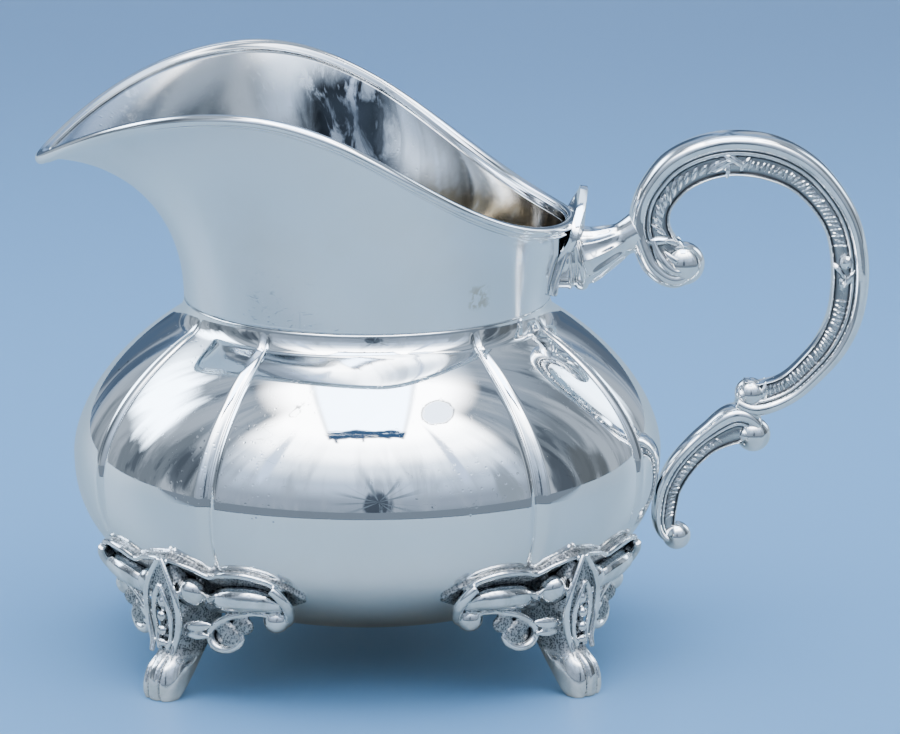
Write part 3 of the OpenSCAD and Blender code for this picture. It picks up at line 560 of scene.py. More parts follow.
def makeBowl():
    turns = []
    for i, steps in enumerate(bowl["lobeSteps"]):
        x = np.arange(steps) / steps
        x = x - bowl["crowding"] * np.sin(2 * math.pi * x)  # closer rows beside each crease
        turns.append(mixed(creaseAngles[i], creaseAngles[i + 1], x))
    azimuths = np.concatenate(turns)
    k = np.arange(1, bowl["lowerRings"] + 1) / bowl["lowerRings"]
    lower = bowl["midZ"] - bowl["lowerHeight"] * cosd(90 * k) ** (2 / bowl["lowerPower"])
    rise = (bowl["cornerZ"] - bowl["midZ"]) / bowl["fullShoulder"]
    top = math.degrees(math.asin(rise ** (bowl["shoulderPower"] / 2)))
    k = np.arange(1, bowl["shoulderRings"] + 1) / bowl["shoulderRings"]
    upper = bowl["midZ"] + bowl["fullShoulder"] * sind(top * k) ** (2 / bowl["shoulderPower"])
    corner = cornerPoint(bowl["cornerAngle"] * np.linspace(1, 0, bowl["cornerRings"] + 1)[1:])[1]
    levels = np.concatenate([lower, upper, corner])
    innerLevels = levels[-3::-2]

    def roundRing(z, off):
        slope = bowlSlope(np.array(z))
        return polar(bowlProfile(z) + off * slope[0], azimuths, z + off * slope[1])

    rings = [roundRing(z, 0) for z in levels]
    rings.append(polar(bowl["neckRadius"] - bowl["sheet"], azimuths, bowl["seamZ"]))
    rings += [roundRing(z, -bowl["sheet"]) for z in innerLevels]
    ringLevels = np.concatenate([levels, [bowl["seamZ"]], innerLevels])
    piece = meshObject("creamerBowl", loft(rings), {
        "lobeEdge": withHubs(np.tile(lobeEdge(azimuths), len(ringLevels))),
        "creaseFade": withHubs(np.repeat(creaseFade(ringLevels), len(azimuths))),
    })
    runTree(piece, lobeTree(), {
        "Axis X": axisX, "Crease Depth": bowl["creaseDepth"] * mm, "Crease Power": bowl["creasePower"],
        "Unevenness": bowl["unevenness"] * mm, "Material": silvers["sheet"]})
    finishPiece(piece, "bowl")


# Neck: a sheet lofted from the round seam to the mouth
neck = {
    "mouthWidth": 72.6, "mouthMidX": 2.0, "mouthBackX": 32.4, "spoutReach": 50.4, "crestX": 20.0,
    "backHeight": 10.9, "tipHeight": 22.5, "crestHeight": 33.5, "drawShare": 0.35, "tipDrawShare": 0.25,
    "tipDrawPower": 8, "risePower": 0.86, "fallPower": 2.1, "backFlare": 10.0, "tipFlare": 88.0,
    "flarePower": 3, "backRise": 1.0, "tipRise": 1.5, "columns": 360, "rows": 70, "innerRows": 48,
}
neck["backZ"] = bowl["seamZ"] + neck["backHeight"]
neck["crestZ"] = bowl["seamZ"] + neck["crestHeight"]
neck["tipZ"] = bowl["seamZ"] + neck["tipHeight"]


def mouthPoint(t):
    t = np.asarray(t, dtype=float)
    c, s = cosd(t), sind(t)
    reach = np.where(c > 0, neck["mouthBackX"] - neck["mouthMidX"], neck["spoutReach"] + neck["mouthMidX"])
    x = neck["mouthMidX"] + reach * c
    tipDrawn = np.where(c < 0, neck["tipDrawShare"] * c ** neck["tipDrawPower"], 0)
    drawn = 1 - neck["drawShare"] * c ** 2 - tipDrawn
    y = neck["mouthWidth"] / 2 * s * drawn
    back, crest = neck["mouthBackX"], neck["crestX"]
    rise = np.clip((back - x) / (back + crest), 0, 1) ** neck["risePower"]
    fall = np.clip((-crest - x) / (neck["spoutReach"] - crest), 0, 1) ** neck["fallPower"]
    z = np.where(x > -crest, mixed(neck["backZ"], neck["crestZ"], (1 - cosd(180 * rise)) / 2),
                 mixed(neck["crestZ"], neck["tipZ"], fall))
    return np.stack([x, y, z], -1)


def spoutShare(t):
    return (1 - cosd(t)) / 2


def mouthLean(t):
    flare = mixed(neck["backFlare"], neck["tipFlare"], spoutShare(t) ** neck["flarePower"])
    return polar(sind(flare), t, cosd(flare))


def neckPoint(t, v):
    t, v = np.broadcast_arrays(np.asarray(t, dtype=float), np.asarray(v, dtype=float))
    low = polar(bowl["neckRadius"], t, bowl["seamZ"])
    high = mouthPoint(t)
    chord = np.linalg.norm(high - low, axis=-1, keepdims=True)
    stiff = mixed(neck["backRise"], neck["tipRise"], spoutShare(t))[..., None]
    rise = np.array([0, 0, 1.0]) * chord * stiff
    lean = mouthLean(t) * chord
    v = v[..., None]
    return (low * (2 * v ** 3 - 3 * v ** 2 + 1) + rise * (v ** 3 - 2 * v ** 2 + v)
            + high * (3 * v ** 2 - 2 * v ** 3) + lean * (v ** 3 - v ** 2))


def neckNormal(t, v):
    t, v = np.broadcast_arrays(np.asarray(t, dtype=float), np.asarray(v, dtype=float))
    turnStep, riseStep = 0.25, 0.005
    along = neckPoint(t + turnStep, v) - neckPoint(t - turnStep, v)
    up = neckPoint(t, v + riseStep) - neckPoint(t, v - riseStep)
    up = np.where((v < 2 * riseStep)[..., None], np.array([0, 0, 1.0]), up)
    up = np.where((v > 1 - 2 * riseStep)[..., None], mouthLean(t), up)
    return unit(np.cross(along, up))


def offNeck(t, v, off):
    return neckPoint(t, v) + neckNormal(t, v) * np.asarray(off)[..., None]


def makeNeck():
    t = 360 * np.arange(neck["columns"]) / neck["columns"]
    outer = [neckPoint(t, v) for v in np.linspace(0, 1, neck["rows"] + 1)]
    inner = [offNeck(t, v, -bowl["sheet"]) for v in np.linspace(1, 0, neck["innerRows"] + 1)]
    inside = np.repeat([0.0] * (len(outer) + 1) + [1.0] * (len(inner) - 1), len(t))
    piece = meshObject("creamerNeck", loft(outer + inner, joined=True), {"inside": inside})
    finishPiece(piece, "neck", silvers["neck"])


# Rim wire: a moulded section that follows the mouth
rimWire = {"out": 0.9, "inward": 0.2, "height": 2.12, "stations": 420}
# points of the section as shares: out or in, and up
wireSection = [
    (-0.95, 0.02), (-0.2, 0.0), (0.45, 0.02), (0.7, 0.08), (0.68, 0.2), (0.42, 0.28), (0.42, 0.34),
    (0.8, 0.43), (1.0, 0.58), (0.92, 0.78), (0.6, 0.93), (0.1, 1.0), (-0.3, 0.98), (-0.62, 0.86),
    (-0.7, 0.74), (-0.74, 0.68), (-0.95, 0.6), (-1.0, 0.45), (-1.0, 0.2),
]


def makeRimWire():
    section = curveThrough(wireSection, 3, closed=True)
    t = 360 * np.arange(rimWire["stations"]) / rimWire["stations"]
    middle, out, up = mouthPoint(t), neckNormal(t, 1.0), mouthLean(t)
    reach = np.where(section[:, 0] < 0, bowl["sheet"] + rimWire["inward"], rimWire["out"]) * section[:, 0]
    rise = section[:, 1] * rimWire["height"]
    rings = middle[:, None] + out[:, None] * reach[None, :, None] + up[:, None] * rise[None, :, None]
    piece = meshObject("mouthWire", loft(rings, joined=True))
    finishPiece(piece, "rim_wire", silvers["wire"])


# Socket plate with its pointed tongue
socketPlate = {
    "thickness": 1.2, "width": 15.0, "tongueHeight": 7.0, "lowShare": 0.06, "bendShare": 0.62,
    "footShare": 0.72, "pointPower": 1.6, "pointEnd": 0.96, "columns": 24, "rows": 30, "tongueRows": 18,
    "gap": 0.05, "edge": 0.22, "edgeAngle": 50,
}


def plateOff(v):
    bend = smooth((v - socketPlate["bendShare"]) / (1 - socketPlate["bendShare"]))
    return socketPlate["gap"] + (rimWire["out"] + socketPlate["gap"]) * bend


def sideAngle(y, v):
    # the turn at which the neck is so far to the side
    t = np.zeros_like(y)
    for _ in range(6):
        here, beside = neckPoint(t, v)[..., 1], neckPoint(t + 1, v)[..., 1]
        t = t + (y - here) / (beside - here)
    return t


def makeSocketPlate():
    side = np.linspace(-1, 1, socketPlate["columns"] + 1)
    half = socketPlate["width"] / 2
    rows = [(v, half * mixed(socketPlate["footShare"], 1, smooth(v)), 0.0)
            for v in np.linspace(socketPlate["lowShare"], 1, socketPlate["rows"] + 1)]
    rows += [(1.0, half * (1 - u ** socketPlate["pointPower"]), u)
             for u in np.linspace(0, socketPlate["pointEnd"], socketPlate["tongueRows"] + 1)[1:]]
    rings = []
    for v, reach, tongue in rows:
        t = sideAngle(side * reach, v)
        rise = unit(mouthLean(t) + np.array([0, 0, 1.0])) * tongue * socketPlate["tongueHeight"]
        front, back = (offNeck(t, v, plateOff(v) + deep) + rise for deep in (0, socketPlate["thickness"]))
        rings.append(np.vstack([front, back[::-1]]))
    piece = meshObject("socketPlate", loft(rings))
    runModifier(piece, "BEVEL", width=socketPlate["edge"] * mm, segments=3, limit_method="ANGLE",
                angle_limit=math.radians(socketPlate["edgeAngle"]))
    finishPiece(piece, "socket_plate", silvers["wire"])


# Fluted bell between the plate and the handle
bell = {
    "length": 9.8, "lipRadius": 6.8, "ringRadius": 5.5, "waistRadius": 3.0, "levelShare": 0.53,
    "riseShare": 0.5, "flutes": 11, "fluteDepth": 0.42, "sides": 216,
    # shares of the length where the flutes set in and end, each with the share that it takes them
    "fluteStart": (0.22, 0.1), "fluteEnd": (0.95, 0.25),
    # shares of the length, with the radius as a share of the ring's and then of the waist's
    "lip": [(-0.2, 0.9), (-0.02, 0.9), (0.03, 0.94), (0.07, 0.86), (0.11, 0.95), (0.17, 1), (0.22, 0.95),
            (0.26, 0.84)],
    "waist": [(0.38, 1.4), (0.52, 1.2), (0.7, 1.0), (0.88, 0.9), (1.0, 0.94), (1.15, 1.05)],
}
bell["z"] = mixed(bowl["seamZ"], neck["backZ"], bell["levelShare"])
bellShare = turningPoint(0.0, 1.0, lambda v: neckPoint(0, v)[2] < bell["z"])  # how far up the neck's back
bell["plateX"] = float(neckPoint(0, bellShare)[0] + plateOff(bellShare) + socketPlate["thickness"])
bell["scrollX"] = bell["plateX"] + bell["length"]
bell["scrollZ"] = bell["z"] + bell["lipRadius"] * bell["riseShare"]


def fluteTree():
    # raises sharp ribs on a spun form, where the mask asks for them
    n, given = shapeTree("pressedFlutes", [("Flutes", "Int", 9), ("Depth", "Float", 0.0005)])
    phase = n.sums("MULTIPLY", n.sums("MULTIPLY", n.attribute("turn"), given["Flutes"]), 0.5)
    wave = n.sums("SUBTRACT", 1.0, n.sums("ABSOLUTE", n.sums("COSINE", phase)))
    depth = n.sums("MULTIPLY", n.sums("MULTIPLY", wave, n.attribute("fluteMask")), given["Depth"])
    offset = n.vector("SCALE", {0: n.attribute("spoke", "FLOAT_VECTOR"), "Scale": depth})
    moved = n.add("GeometryNodeSetPosition", {"Geometry": given["Geometry"], "Offset": offset})
    return finishTree(n, given, moved.outputs[0])


def makeBell():
    # the wide end stands upright on the plate, and the waist bends up to the scroll
    length, rise = bell["length"], bell["scrollZ"] - bell["z"]
    outline = [(s * length, share * bell["ringRadius"]) for s, share in bell["lip"]]
    outline += [(s * length, share * bell["waistRadius"]) for s, share in bell["waist"]]
    outline = curveThrough(outline, 8)
    around = np.linspace(0, 2 * math.pi, bell["sides"], endpoint=False)
    rings, spokes = [], []
    for s, r in outline:
        u = max(s / length, 0)
        lean = math.atan2(rise * (3 * u - 1.5 * u * u), length)
        up = np.array([-math.sin(lean), 0, math.cos(lean)])
        spoke = np.array([0, 1.0, 0]) * np.cos(around)[:, None] + up * np.sin(around)[:, None]
        middle = np.array([bell["plateX"] + s, 0, bell["z"] + rise * (1.5 * u * u - 0.5 * u ** 3)])
        rings.append(middle + spoke * r)
        spokes.append(spoke)
    share = outline[:, 0] / length
    (start, startSoft), (end, endSoft) = bell["fluteStart"], bell["fluteEnd"]
    mask = smooth((share - start) / startSoft) * smooth((end - share) / endSoft)
    piece = meshObject("handleBell", loft(rings), {
        "turn": withHubs(np.tile(around, len(outline))), "spoke": withHubs(np.vstack(spokes)),
        "fluteMask": withHubs(np.repeat(mask, bell["sides"])),
    })
    runTree(piece, fluteTree(), {"Flutes": bell["flutes"], "Depth": bell["fluteDepth"] * mm,
                                 "Material": silvers["cast"]})
    finishPiece(piece, "socket_bell")


# Handle: two swept scrolls that are laid out between the bell and the bowl
handle = {
    "reach": 35.34, "width": 7.2, "depth": 6.6, "leastDepthShare": 0.35, "steps": 14, "seatDrop": 7.0,
    "seatHalf": (0.3, 0.45), "curlBall": 3.5, "bead": 2.8, "upperBeadShare": 0.9, "tailBall": 2.3,
    "upperBead": (0.455, 0.37), "lowerBead": (0.455, 0.205),
    # shares of the reach, of the height between the seats, and of the width
    "upperPath": [
        (0.16, 0.89, 0.85), (0.115, 0.885, 1.04), (0.065, 0.915, 1.08), (0.03, 0.96, 1), (0.005, 1.03, 0.94),
        (0.02, 1.11, 0.89), (0.07, 1.18, 0.91), (0.165, 1.255, 0.98), (0.3, 1.305, 1), (0.46, 1.325, 1),
        (0.64, 1.305, 1), (0.8, 1.24, 0.92), (0.92, 1.13, 0.85), (0.985, 1.01, 0.83), (1, 0.855, 0.85),
        (0.965, 0.695, 0.81), (0.89, 0.575, 0.76), (0.785, 0.48, 0.71), (0.645, 0.39, 0.7),
        (0.49, 0.35, 0.78), (0.4, 0.37, 0.7),
    ],
    "lowerPath": [
        (0.47, 0.22, 0.6), (0.375, 0.25, 0.9), (0.235, 0.195, 0.67), (0.14, 0.135, 0.61), (0.065, 0.07, 0.6),
        (0.01, 0, 0.58), (-0.015, -0.06, 0.58), (-0.03, -0.13, 0.54), (-0.02, -0.18, 0.42), (0.03, -0.2, 0.4),
    ],
    # thin leaves round the inner ball: first and last place on the path, shares of the width across and of
    # the depth out at both ends, and radius
    "curlLeaves": [(0.3, 3.6, (0.1, 0.0), (0.5, 0.38), 0.75), (0.6, 2.6, (-0.16, -0.12), (0.5, 0.4), 0.5)],
    "curlSwell": (0.07, 0.93), "curlEdge": 0.06, "curlFlat": 0.6,
}
handle["seatZ"] = bowl["midZ"] - handle["seatDrop"]
handle["seatX"] = float(bowlProfile(handle["seatZ"]))
# half of the scroll's section, from its outer edge in: shares of its width and depth, and how dark it is
scrollSection = [
    (0.5, 0, 0), (0.49, 0.16, 0), (0.45, 0.32, 0), (0.37, 0.44, 0), (0.27, 0.475, 0), (0.18, 0.44, 0),
    (0.125, 0.38, 0.1), (0.1, 0.31, 0.9), (0.07, 0.345, 0.2), (0.035, 0.35, 0), (0.0, 0.32, 0.2),
    (-0.03, 0.255, 1), (-0.07, 0.235, 0.6),
    (-0.18, 0.25, 0.45), (-0.3, 0.245, 0.5), (-0.37, 0.23, 0.8), (-0.405, 0.245, 1), (-0.43, 0.3, 0.2),
    (-0.46, 0.315, 0), (-0.488, 0.2, 0), (-0.5, 0, 0),
]
# chased strokes along the band: first and last place on the path, count, slant, length and width in mm
chasing = {
    "upper": [(3.9, 8.2, 13, 52, 3.3, 0.42), (9.4, 13.3, 30, 24, 2.2, 0.24), (14.7, 18.5, 26, 10, 2.2, 0.28)],
    "lower": [(1.8, 6.8, 20, 30, 1.7, 0.26)],
    "middle": -0.21, "level": 0.25, "tall": 0.4, "unevenness": 9.0, "stretch": (0.75, 1.1), "seed": 5,
}
# leaves on the band: place on the path, across, slant, length, width and height in mm
scrollLeaves = [
    (8.55, -0.2, 20, 2.6, 0.75, 0.8), (8.9, -0.1, -35, 2.4, 0.7, 0.8), (8.75, -0.33, 80, 1.5, 0.55, 0.7),
    (9.25, -0.2, 60, 1.6, 0.5, 0.6), (13.75, -0.12, 0, 1.35, 1.2, 1.5), (13.95, -0.3, 35, 1.9, 0.5, 0.8),
    (14.15, -0.05, -30, 2.0, 0.6, 0.9), (14.3, -0.25, 10, 1.3, 0.5, 0.6), (18.75, -0.2, 70, 1.7, 0.6, 0.8),
    (3.3, -0.1, 70, 2.4, 0.8, 0.7), (2.9, -0.35, 50, 1.9, 0.6, 0.7),
]


def handlePoint(across, up):
    base = mixed(handle["seatX"], bell["scrollX"], up) + handle["width"] * mixed(*handle["seatHalf"], up)
    return np.stack([base + across * (handle["reach"] - handle["width"] / 2),
                     np.zeros_like(np.asarray(up, dtype=float)),
                     mixed(handle["seatZ"], bell["scrollZ"], up)], -1)


def scrollFrames(path, bandSide):
    # middles, directions along and across, widths and depths at small steps along a scroll
    shares = np.array(path)
    middle = handlePoint(shares[:, 0], shares[:, 1])
    line = curveThrough(np.column_stack([middle, shares[:, 2] * handle["width"]]), handle["steps"])
    along = unit(np.gradient(line[:, :3], axis=0))
    outer = np.stack([-along[:, 2], np.zeros(len(along)), along[:, 0]], -1) * bandSide
    width = line[:, 3]
    depth = handle["depth"] * mixed(handle["leastDepthShare"], 1, width / handle["width"])
    return line[:, :3], along, outer, width, depth


def sweptScroll(path, bandSide):
    middle, along, outer, width, depth = scrollFrames(path, bandSide)
    half = curveThrough(scrollSection, 3)
    section = np.vstack([half, half[-2:0:-1] * np.array([1, -1, 1])])
    rings = (middle[:, None] + outer[:, None] * (section[None, :, 0] * width[:, None])[..., None]
             - np.array([0, 1.0, 0]) * (section[None, :, 1] * depth[:, None])[..., None])
    return loft(rings), withHubs(np.tile(section[:, 2], len(rings)))


def onScroll(path, bandSide, place, across):
    # a point on each face of the band, with the directions along it, across it and out of it
    step = int(round(place * handle["steps"]))
    middle, along, outer, width, depth = (values[step] for values in scrollFrames(path, bandSide))
    for face in (-1.0, 1.0):
        out = np.array([0, face, 0])
        yield middle + outer * across * width + out * chasing["level"] * depth, along, outer, out


def turnTo(along, up):
    side = np.cross(up, along)
    return Matrix(np.stack([along, side, up], -1).tolist()).to_euler()


def scrollMarks(path, bandSide, rows, leaves):
    # places, turns and sizes of the strokes and leaves that lie on the two faces of the band
    random = np.random.default_rng(chasing["seed"])
    marks = []
    for first, last, count, slant, length, width in rows:
        for place in np.linspace(first, last, count):
            lean = slant + random.normal() * chasing["unevenness"]
            stretch = random.uniform(*chasing["stretch"])
            marks.append((place, chasing["middle"], 90 - lean, length / 2 * stretch, width, chasing["tall"]))
    places, turns, sizes = [], [], []
    for place, across, slant, *size in marks + leaves:
        for point, along, outer, out in onScroll(path, bandSide, place, across):
            places.append(point)
            turns.append(turnTo(along * cosd(slant) + outer * sind(slant), out))
            sizes.append(size)
    return np.array(places), np.array(turns), np.array(sizes)


def strokeTree():
    # sets a small egg-shaped stroke on every loose point, turned and sized by the point's own values
    n, given = shapeTree("chasedStrokes", [("Sides", "Int", 8), ("Rings", "Int", 6),
                                           ("Scale", "Float", 0.001)])
    chosen = n.sums("GREATER_THAN", n.attribute("mark"), 0.5)
    parts = n.add("GeometryNodeSeparateGeometry", {"Geometry": given["Geometry"], "Selection": chosen},
                  domain="POINT").outputs
    egg = n.add("GeometryNodeMeshUVSphere", {"Segments": given["Sides"], "Rings": given["Rings"]}).outputs[0]
    scale = n.vector("SCALE", {0: n.attribute("size", "FLOAT_VECTOR"), "Scale": given["Scale"]})
    turn = n.add("FunctionNodeEulerToRotation", {0: n.attribute("turn", "FLOAT_VECTOR")}).outputs[0]
    strokes = n.add("GeometryNodeInstanceOnPoints", {"Points": parts["Selection"], "Instance": egg,
                                                     "Rotation": turn, "Scale": scale}).outputs[0]
    joined = n.add("GeometryNodeJoinGeometry", {0: parts["Inverted"]})
    n.tree.links.new(strokes, joined.inputs[0])
    return finishTree(n, given, joined.outputs[0])


def makeScroll(name, nodeName, path, bandSide, rows, leaves, extras):
    scroll, dark = sweptScroll(path, bandSide)
    points, faces = joinShapes([scroll] + extras)
    places, turns, sizes = scrollMarks(path, bandSide, rows, leaves)
    solid, marks = len(points), len(places)
    piece = meshObject(name, (np.vstack([points, places]), faces), {
        "recess": np.concatenate([dark, np.zeros(solid - len(dark) + marks)]),
        "mark": np.concatenate([np.zeros(solid), np.ones(marks)]),
        "turn": np.vstack([np.zeros((solid, 3)), turns]),
        "size": np.vstack([np.zeros((solid, 3)), sizes]),
    })
    runTree(piece, strokeTree(), {"Material": silvers["cast"]})
    finishPiece(piece, nodeName)


def leafRadii(u, half, swell, edge):
    # radii along a leaf, which swell as a sine does between two shares of half a turn
    return half * sind(180 * mixed(*swell, u)) + edge


def curlLeaf(first, last, across, level, radius):
    # a thin leaf that lies on both faces of the upper scroll and wraps round its inner ball
    middle, along, outer, width, depth = scrollFrames(handle["upperPath"], 1)
    places = np.arange(int(first * handle["steps"]), int(last * handle["steps"]) + 1)
    u = np.linspace(0, 1, len(places))
    shapes = []
    for face in (-1, 1):
        line = (middle[places] + outer[places] * (mixed(*across, u) * width[places])[:, None]
                + np.array([0, face, 0]) * (mixed(*level, u) * depth[places])[:, None])
        radii = leafRadii(u, radius, handle["curlSwell"], handle["curlEdge"])
        shapes.append(tube(line, radii, (0, 1, 0), handle["curlFlat"], 12))
    return shapes


def makeHandle():
    upper, lower = handle["upperPath"], handle["lowerPath"]
    extras = [ball(handlePoint(*upper[0][:2]), handle["curlBall"], 24, 36),
              ball(handlePoint(*handle["upperBead"]), handle["upperBeadShare"] * handle["bead"], 20, 30)]
    for leaf in handle["curlLeaves"]:
        extras += curlLeaf(*leaf)
    makeScroll("upperScroll", "upper_scroll", upper, 1, chasing["upper"], scrollLeaves, extras)
    extras = [ball(handlePoint(*handle["lowerBead"]), handle["bead"], 20, 30),
              ball(handlePoint(*lower[-1][:2]), handle["tailBall"], 20, 30)]
    makeScroll("lowerScroll", "lower_scroll", lower, -1, chasing["lower"], [], extras)


# Feet: overlapping forms that are fused into one skin, with a mask for their deep places
foot = {
    "azimuth": 45.0, "voxel": 0.18, "sunk": 0.3, "sinkRounds": 3, "lowGap": 0.5, "stipple": 0.05, "seed": 11,
    "groundEdge": 0.25, "groundShift": 0.3, "groundDark": 0.85, "hoofTop": (5.4, 7.4),
    # small and wide hollows: rounds of smoothing that find them, and shares of the depth that is dark
    "recessDepth": 0.12, "hollows": ((6, 0.35), (30, 1.0)), "hollowShare": 0.6, "hollowEdge": 0.15,
    # sections of the leg: height, back, front and half width
    "leg": [
        (0.0, 44.6, 48.5, 2.75), (1.2, 43.3, 48.9, 3.15), (3.2, 41.4, 48.9, 3.2), (5.2, 39.5, 48.2, 2.95),
        (7.0, 37.8, 46.5, 2.5), (9.0, 36.2, 45.6, 2.5), (12.0, 34.4, 45.6, 3.1), (15.0, 37.0, 46.0, 3.4),
        (18.0, 40.0, 46.2, 3.3), (20.5, 42.5, 46.0, 2.2), (22.3, 44.2, 45.9, 0.9),
    ],
    "squareness": 0.75, "clefts": (-1.15, 1.15), "cleftDepth": 1.0, "cleftWidth": 0.24,
    "cleftTop": (5.6, 7.2), "cleftFront": 3,
    # lines on the bowl: turn from the foot's middle, height, distance off the bowl and radius
    "rim": [(26.0, 18.2, 1.0, 0.5), (25.9, 19.8, 0.95, 0.5), (24.4, 21.0, 0.9, 0.5), (22.2, 21.7, 0.9, 0.52),
            (18.8, 22.1, 0.9, 0.55), (14.5, 21.9, 0.9, 0.55), (11.0, 21.1, 0.9, 0.5), (9.6, 21.2, 0.95, 0.42),
            (7.0, 22.0, 1.0, 0.38), (3.5, 22.6, 1.1, 0.36), (0.6, 22.8, 1.2, 0.34)],
    "rib": [(25.2, 17.2, 1.6, 0.7), (24.2, 17.9, 1.7, 1.35), (21.8, 18.5, 1.8, 1.95), (18.0, 18.6, 1.9, 2.2),
            (13.5, 18.1, 1.9, 2.2), (9.8, 17.1, 1.8, 2.0), (7.2, 15.9, 1.6, 1.4), (5.0, 14.9, 1.4, 0.7)],
    "ribFlat": 0.8,
    "hook": [(24.4, 20.8, 1.6, 0.7), (26.2, 19.6, 1.9, 0.85), (27.2, 18.0, 2.1, 0.9), (26.8, 16.2, 2.2, 0.85),
             (25.5, 15.1, 2.3, 0.75)],
    "hookBall": (23.6, 15.9, 2.5), "hookBallRadius": 2.1,
    "plate": [(0.0, 22.9, 12.5), (5.0, 22.3, 12.6), (9.0, 21.2, 13.2), (13.0, 21.6, 14.4), (18.0, 21.9, 15.2),
              (23.0, 21.4, 15.6), (27.0, 20.2, 16.2), (30.5, 18.5, 17.4)],
    "plateThickness": 0.5, "plateLip": 0.35, "plateSunk": 0.5, "plateHem": 1.0,
    "boss": (5.7, 18.8, 2.3), "bossRadii": (2.45, 2.75, 2.0),
    # lines beside the leg: distance to the side, height, distance from the axis and radius
    "volute": [(16.4, 15.0, 39.4, 0.35), (13.6, 14.9, 40.4, 0.45), (10.6, 14.2, 41.5, 0.55),
               (8.2, 13.0, 42.2, 0.6), (6.7, 11.3, 42.5, 0.65), (6.8, 9.7, 42.4, 0.68),
               (8.1, 8.7, 42.1, 0.68), (9.9, 8.7, 41.6, 0.62), (11.4, 9.5, 41.1, 0.55),
               (12.0, 10.6, 40.8, 0.48), (11.3, 11.5, 41.0, 0.42), (10.1, 11.2, 41.4, 0.42)],
    # the stippled face inside each volute: side, height, distance from the axis, half width and half height
    "voluteWeb": [(9.3, 10.9, 41.3, 2.6, 2.2), (11.6, 12.9, 40.6, 2.7, 1.6), (8.6, 12.2, 41.5, 1.8, 1.6)],
    "voluteWebThickness": 0.8,
    "smallLeaves": [((3.0, 11.8, 44.6), (7.9, 12.6, 43.4), 0.95),
                    ((2.9, 10.5, 44.4), (7.4, 10.7, 43.3), 0.7)],
    "leafSwell": (0.14, 0.92), "leafEdge": 0.05, "leafFlat": 0.5,
    # the pointed leaf: height, half width and front, and its section in shares of the half width and mm out
    "blade": [(22.6, 0.3, 46.5), (21.2, 1.3, 46.7), (19.0, 2.2, 46.7), (17.0, 2.5, 46.5), (14.5, 2.4, 46.1)],
    "bladeSection": [(-1, -1.2), (1, -1.2), (1, -0.35), (0.35, 0.1), (0, 0.28), (-0.35, 0.1), (-1, -0.35)],
    "sideRidge": [(0.3, 22.6, 46.8, 0.4), (1.7, 20.3, 46.9, 0.45), (3.0, 17.4, 46.7, 0.5),
                  (3.5, 13.9, 46.2, 0.55), (3.0, 10.8, 45.9, 0.55), (2.4, 8.8, 46.0, 0.5),
                  (2.2, 7.2, 46.6, 0.42)],
    "innerRidge": [(0.15, 18.4, 47.1, 0.3), (1.3, 16.0, 46.8, 0.4), (1.7, 12.8, 46.2, 0.42),
                   (1.4, 9.8, 45.9, 0.4), (0.9, 7.8, 46.2, 0.34)],
    "beads": [(15.6, 0.72, 0.95), (13.3, 0.85, 0.9), (11.0, 0.85, 0.9), (9.0, 0.7, 0.7)], "beadFront": 46.3,
}


def besideLeg(side, z, r):
    c, s = cosd(foot["azimuth"]), sind(foot["azimuth"])
    return np.stack(np.broadcast_arrays(r * c - side * s, r * s + side * c, z), -1)


legSide, legOut = besideLeg(1.0, 0.0, 0.0), besideLeg(0.0, 0.0, 1.0)


def onFoot(turn, z, off):
    # the castings bridge the creases rather than fill them
    return onBowl(foot["azimuth"] + turn, z, off, bowl["footSink"])


def bowlNormals(turn, z):
    return unit(onFoot(turn, z, 1.0) - onFoot(turn, z, 0.0))


def lineOnBowl(points, side, flat=1.0):
    turn, z, off, radii = curveThrough(points, 6).T
    return tube(onFoot(side * turn, z, off), radii, bowlNormals(side * turn, z), flat)


def lineBesideLeg(points, side):
    across, z, r, radii = curveThrough(points, 6).T
    return tube(besideLeg(side * across, z, r), radii, legOut)


def legShape():
    # a rounded square all the way up, with clefts in the front of its hoof
    around = np.linspace(0, 2 * math.pi, 96, endpoint=False)
    c, s = (np.sign(v) * np.abs(v) ** foot["squareness"] for v in (np.cos(around), np.sin(around)))
    low, high = foot["cleftTop"]
    rings = []
    for z, back, front, half in curveThrough(foot["leg"], 5):
        r = (front + back) / 2 + (front - back) / 2 * c
        fade = 1 - smooth((z - low) / (high - low))
        deep = foot["cleftDepth"] * fade * np.clip(c * foot["cleftFront"], 0, 1)
        for cleft in foot["clefts"]:
            r = r - deep * np.exp(-((half * s - cleft) / foot["cleftWidth"]) ** 2)
        rings.append(besideLeg(half * s, z, r))
    return loft(rings)


def plateShape(side):
    lip, thick, sunk = foot["plateLip"], foot["plateThickness"], -foot["plateSunk"]
    rings = []
    for turn, top, low in curveThrough(foot["plate"], 5):
        z, off = np.transpose([(low, sunk), (top, sunk), (top, 1.1 * thick), (top - lip, 1.2 * thick),
                               (top - 2 * lip, thick), (low + foot["plateHem"], thick), (low, 0.6 * thick)])
        rings.append(onFoot(side * turn, z, off))
    return loft(rings)


def leafShape(base, tip, half, side):
    # a pointed leaf: a round bar flattened towards the leg's front
    u = np.linspace(0, 1, 14)
    base, tip = (besideLeg(side * p[0], p[1], p[2]) for p in (base, tip))
    radii = leafRadii(u, half, foot["leafSwell"], foot["leafEdge"])
    return tube(base + (tip - base) * u[:, None], radii, legOut, foot["leafFlat"])


def bladeShape():
    across, out = np.transpose(foot["bladeSection"])
    return loft([besideLeg(across * half, z, front + out)
                 for z, half, front in curveThrough(foot["blade"], 6)])


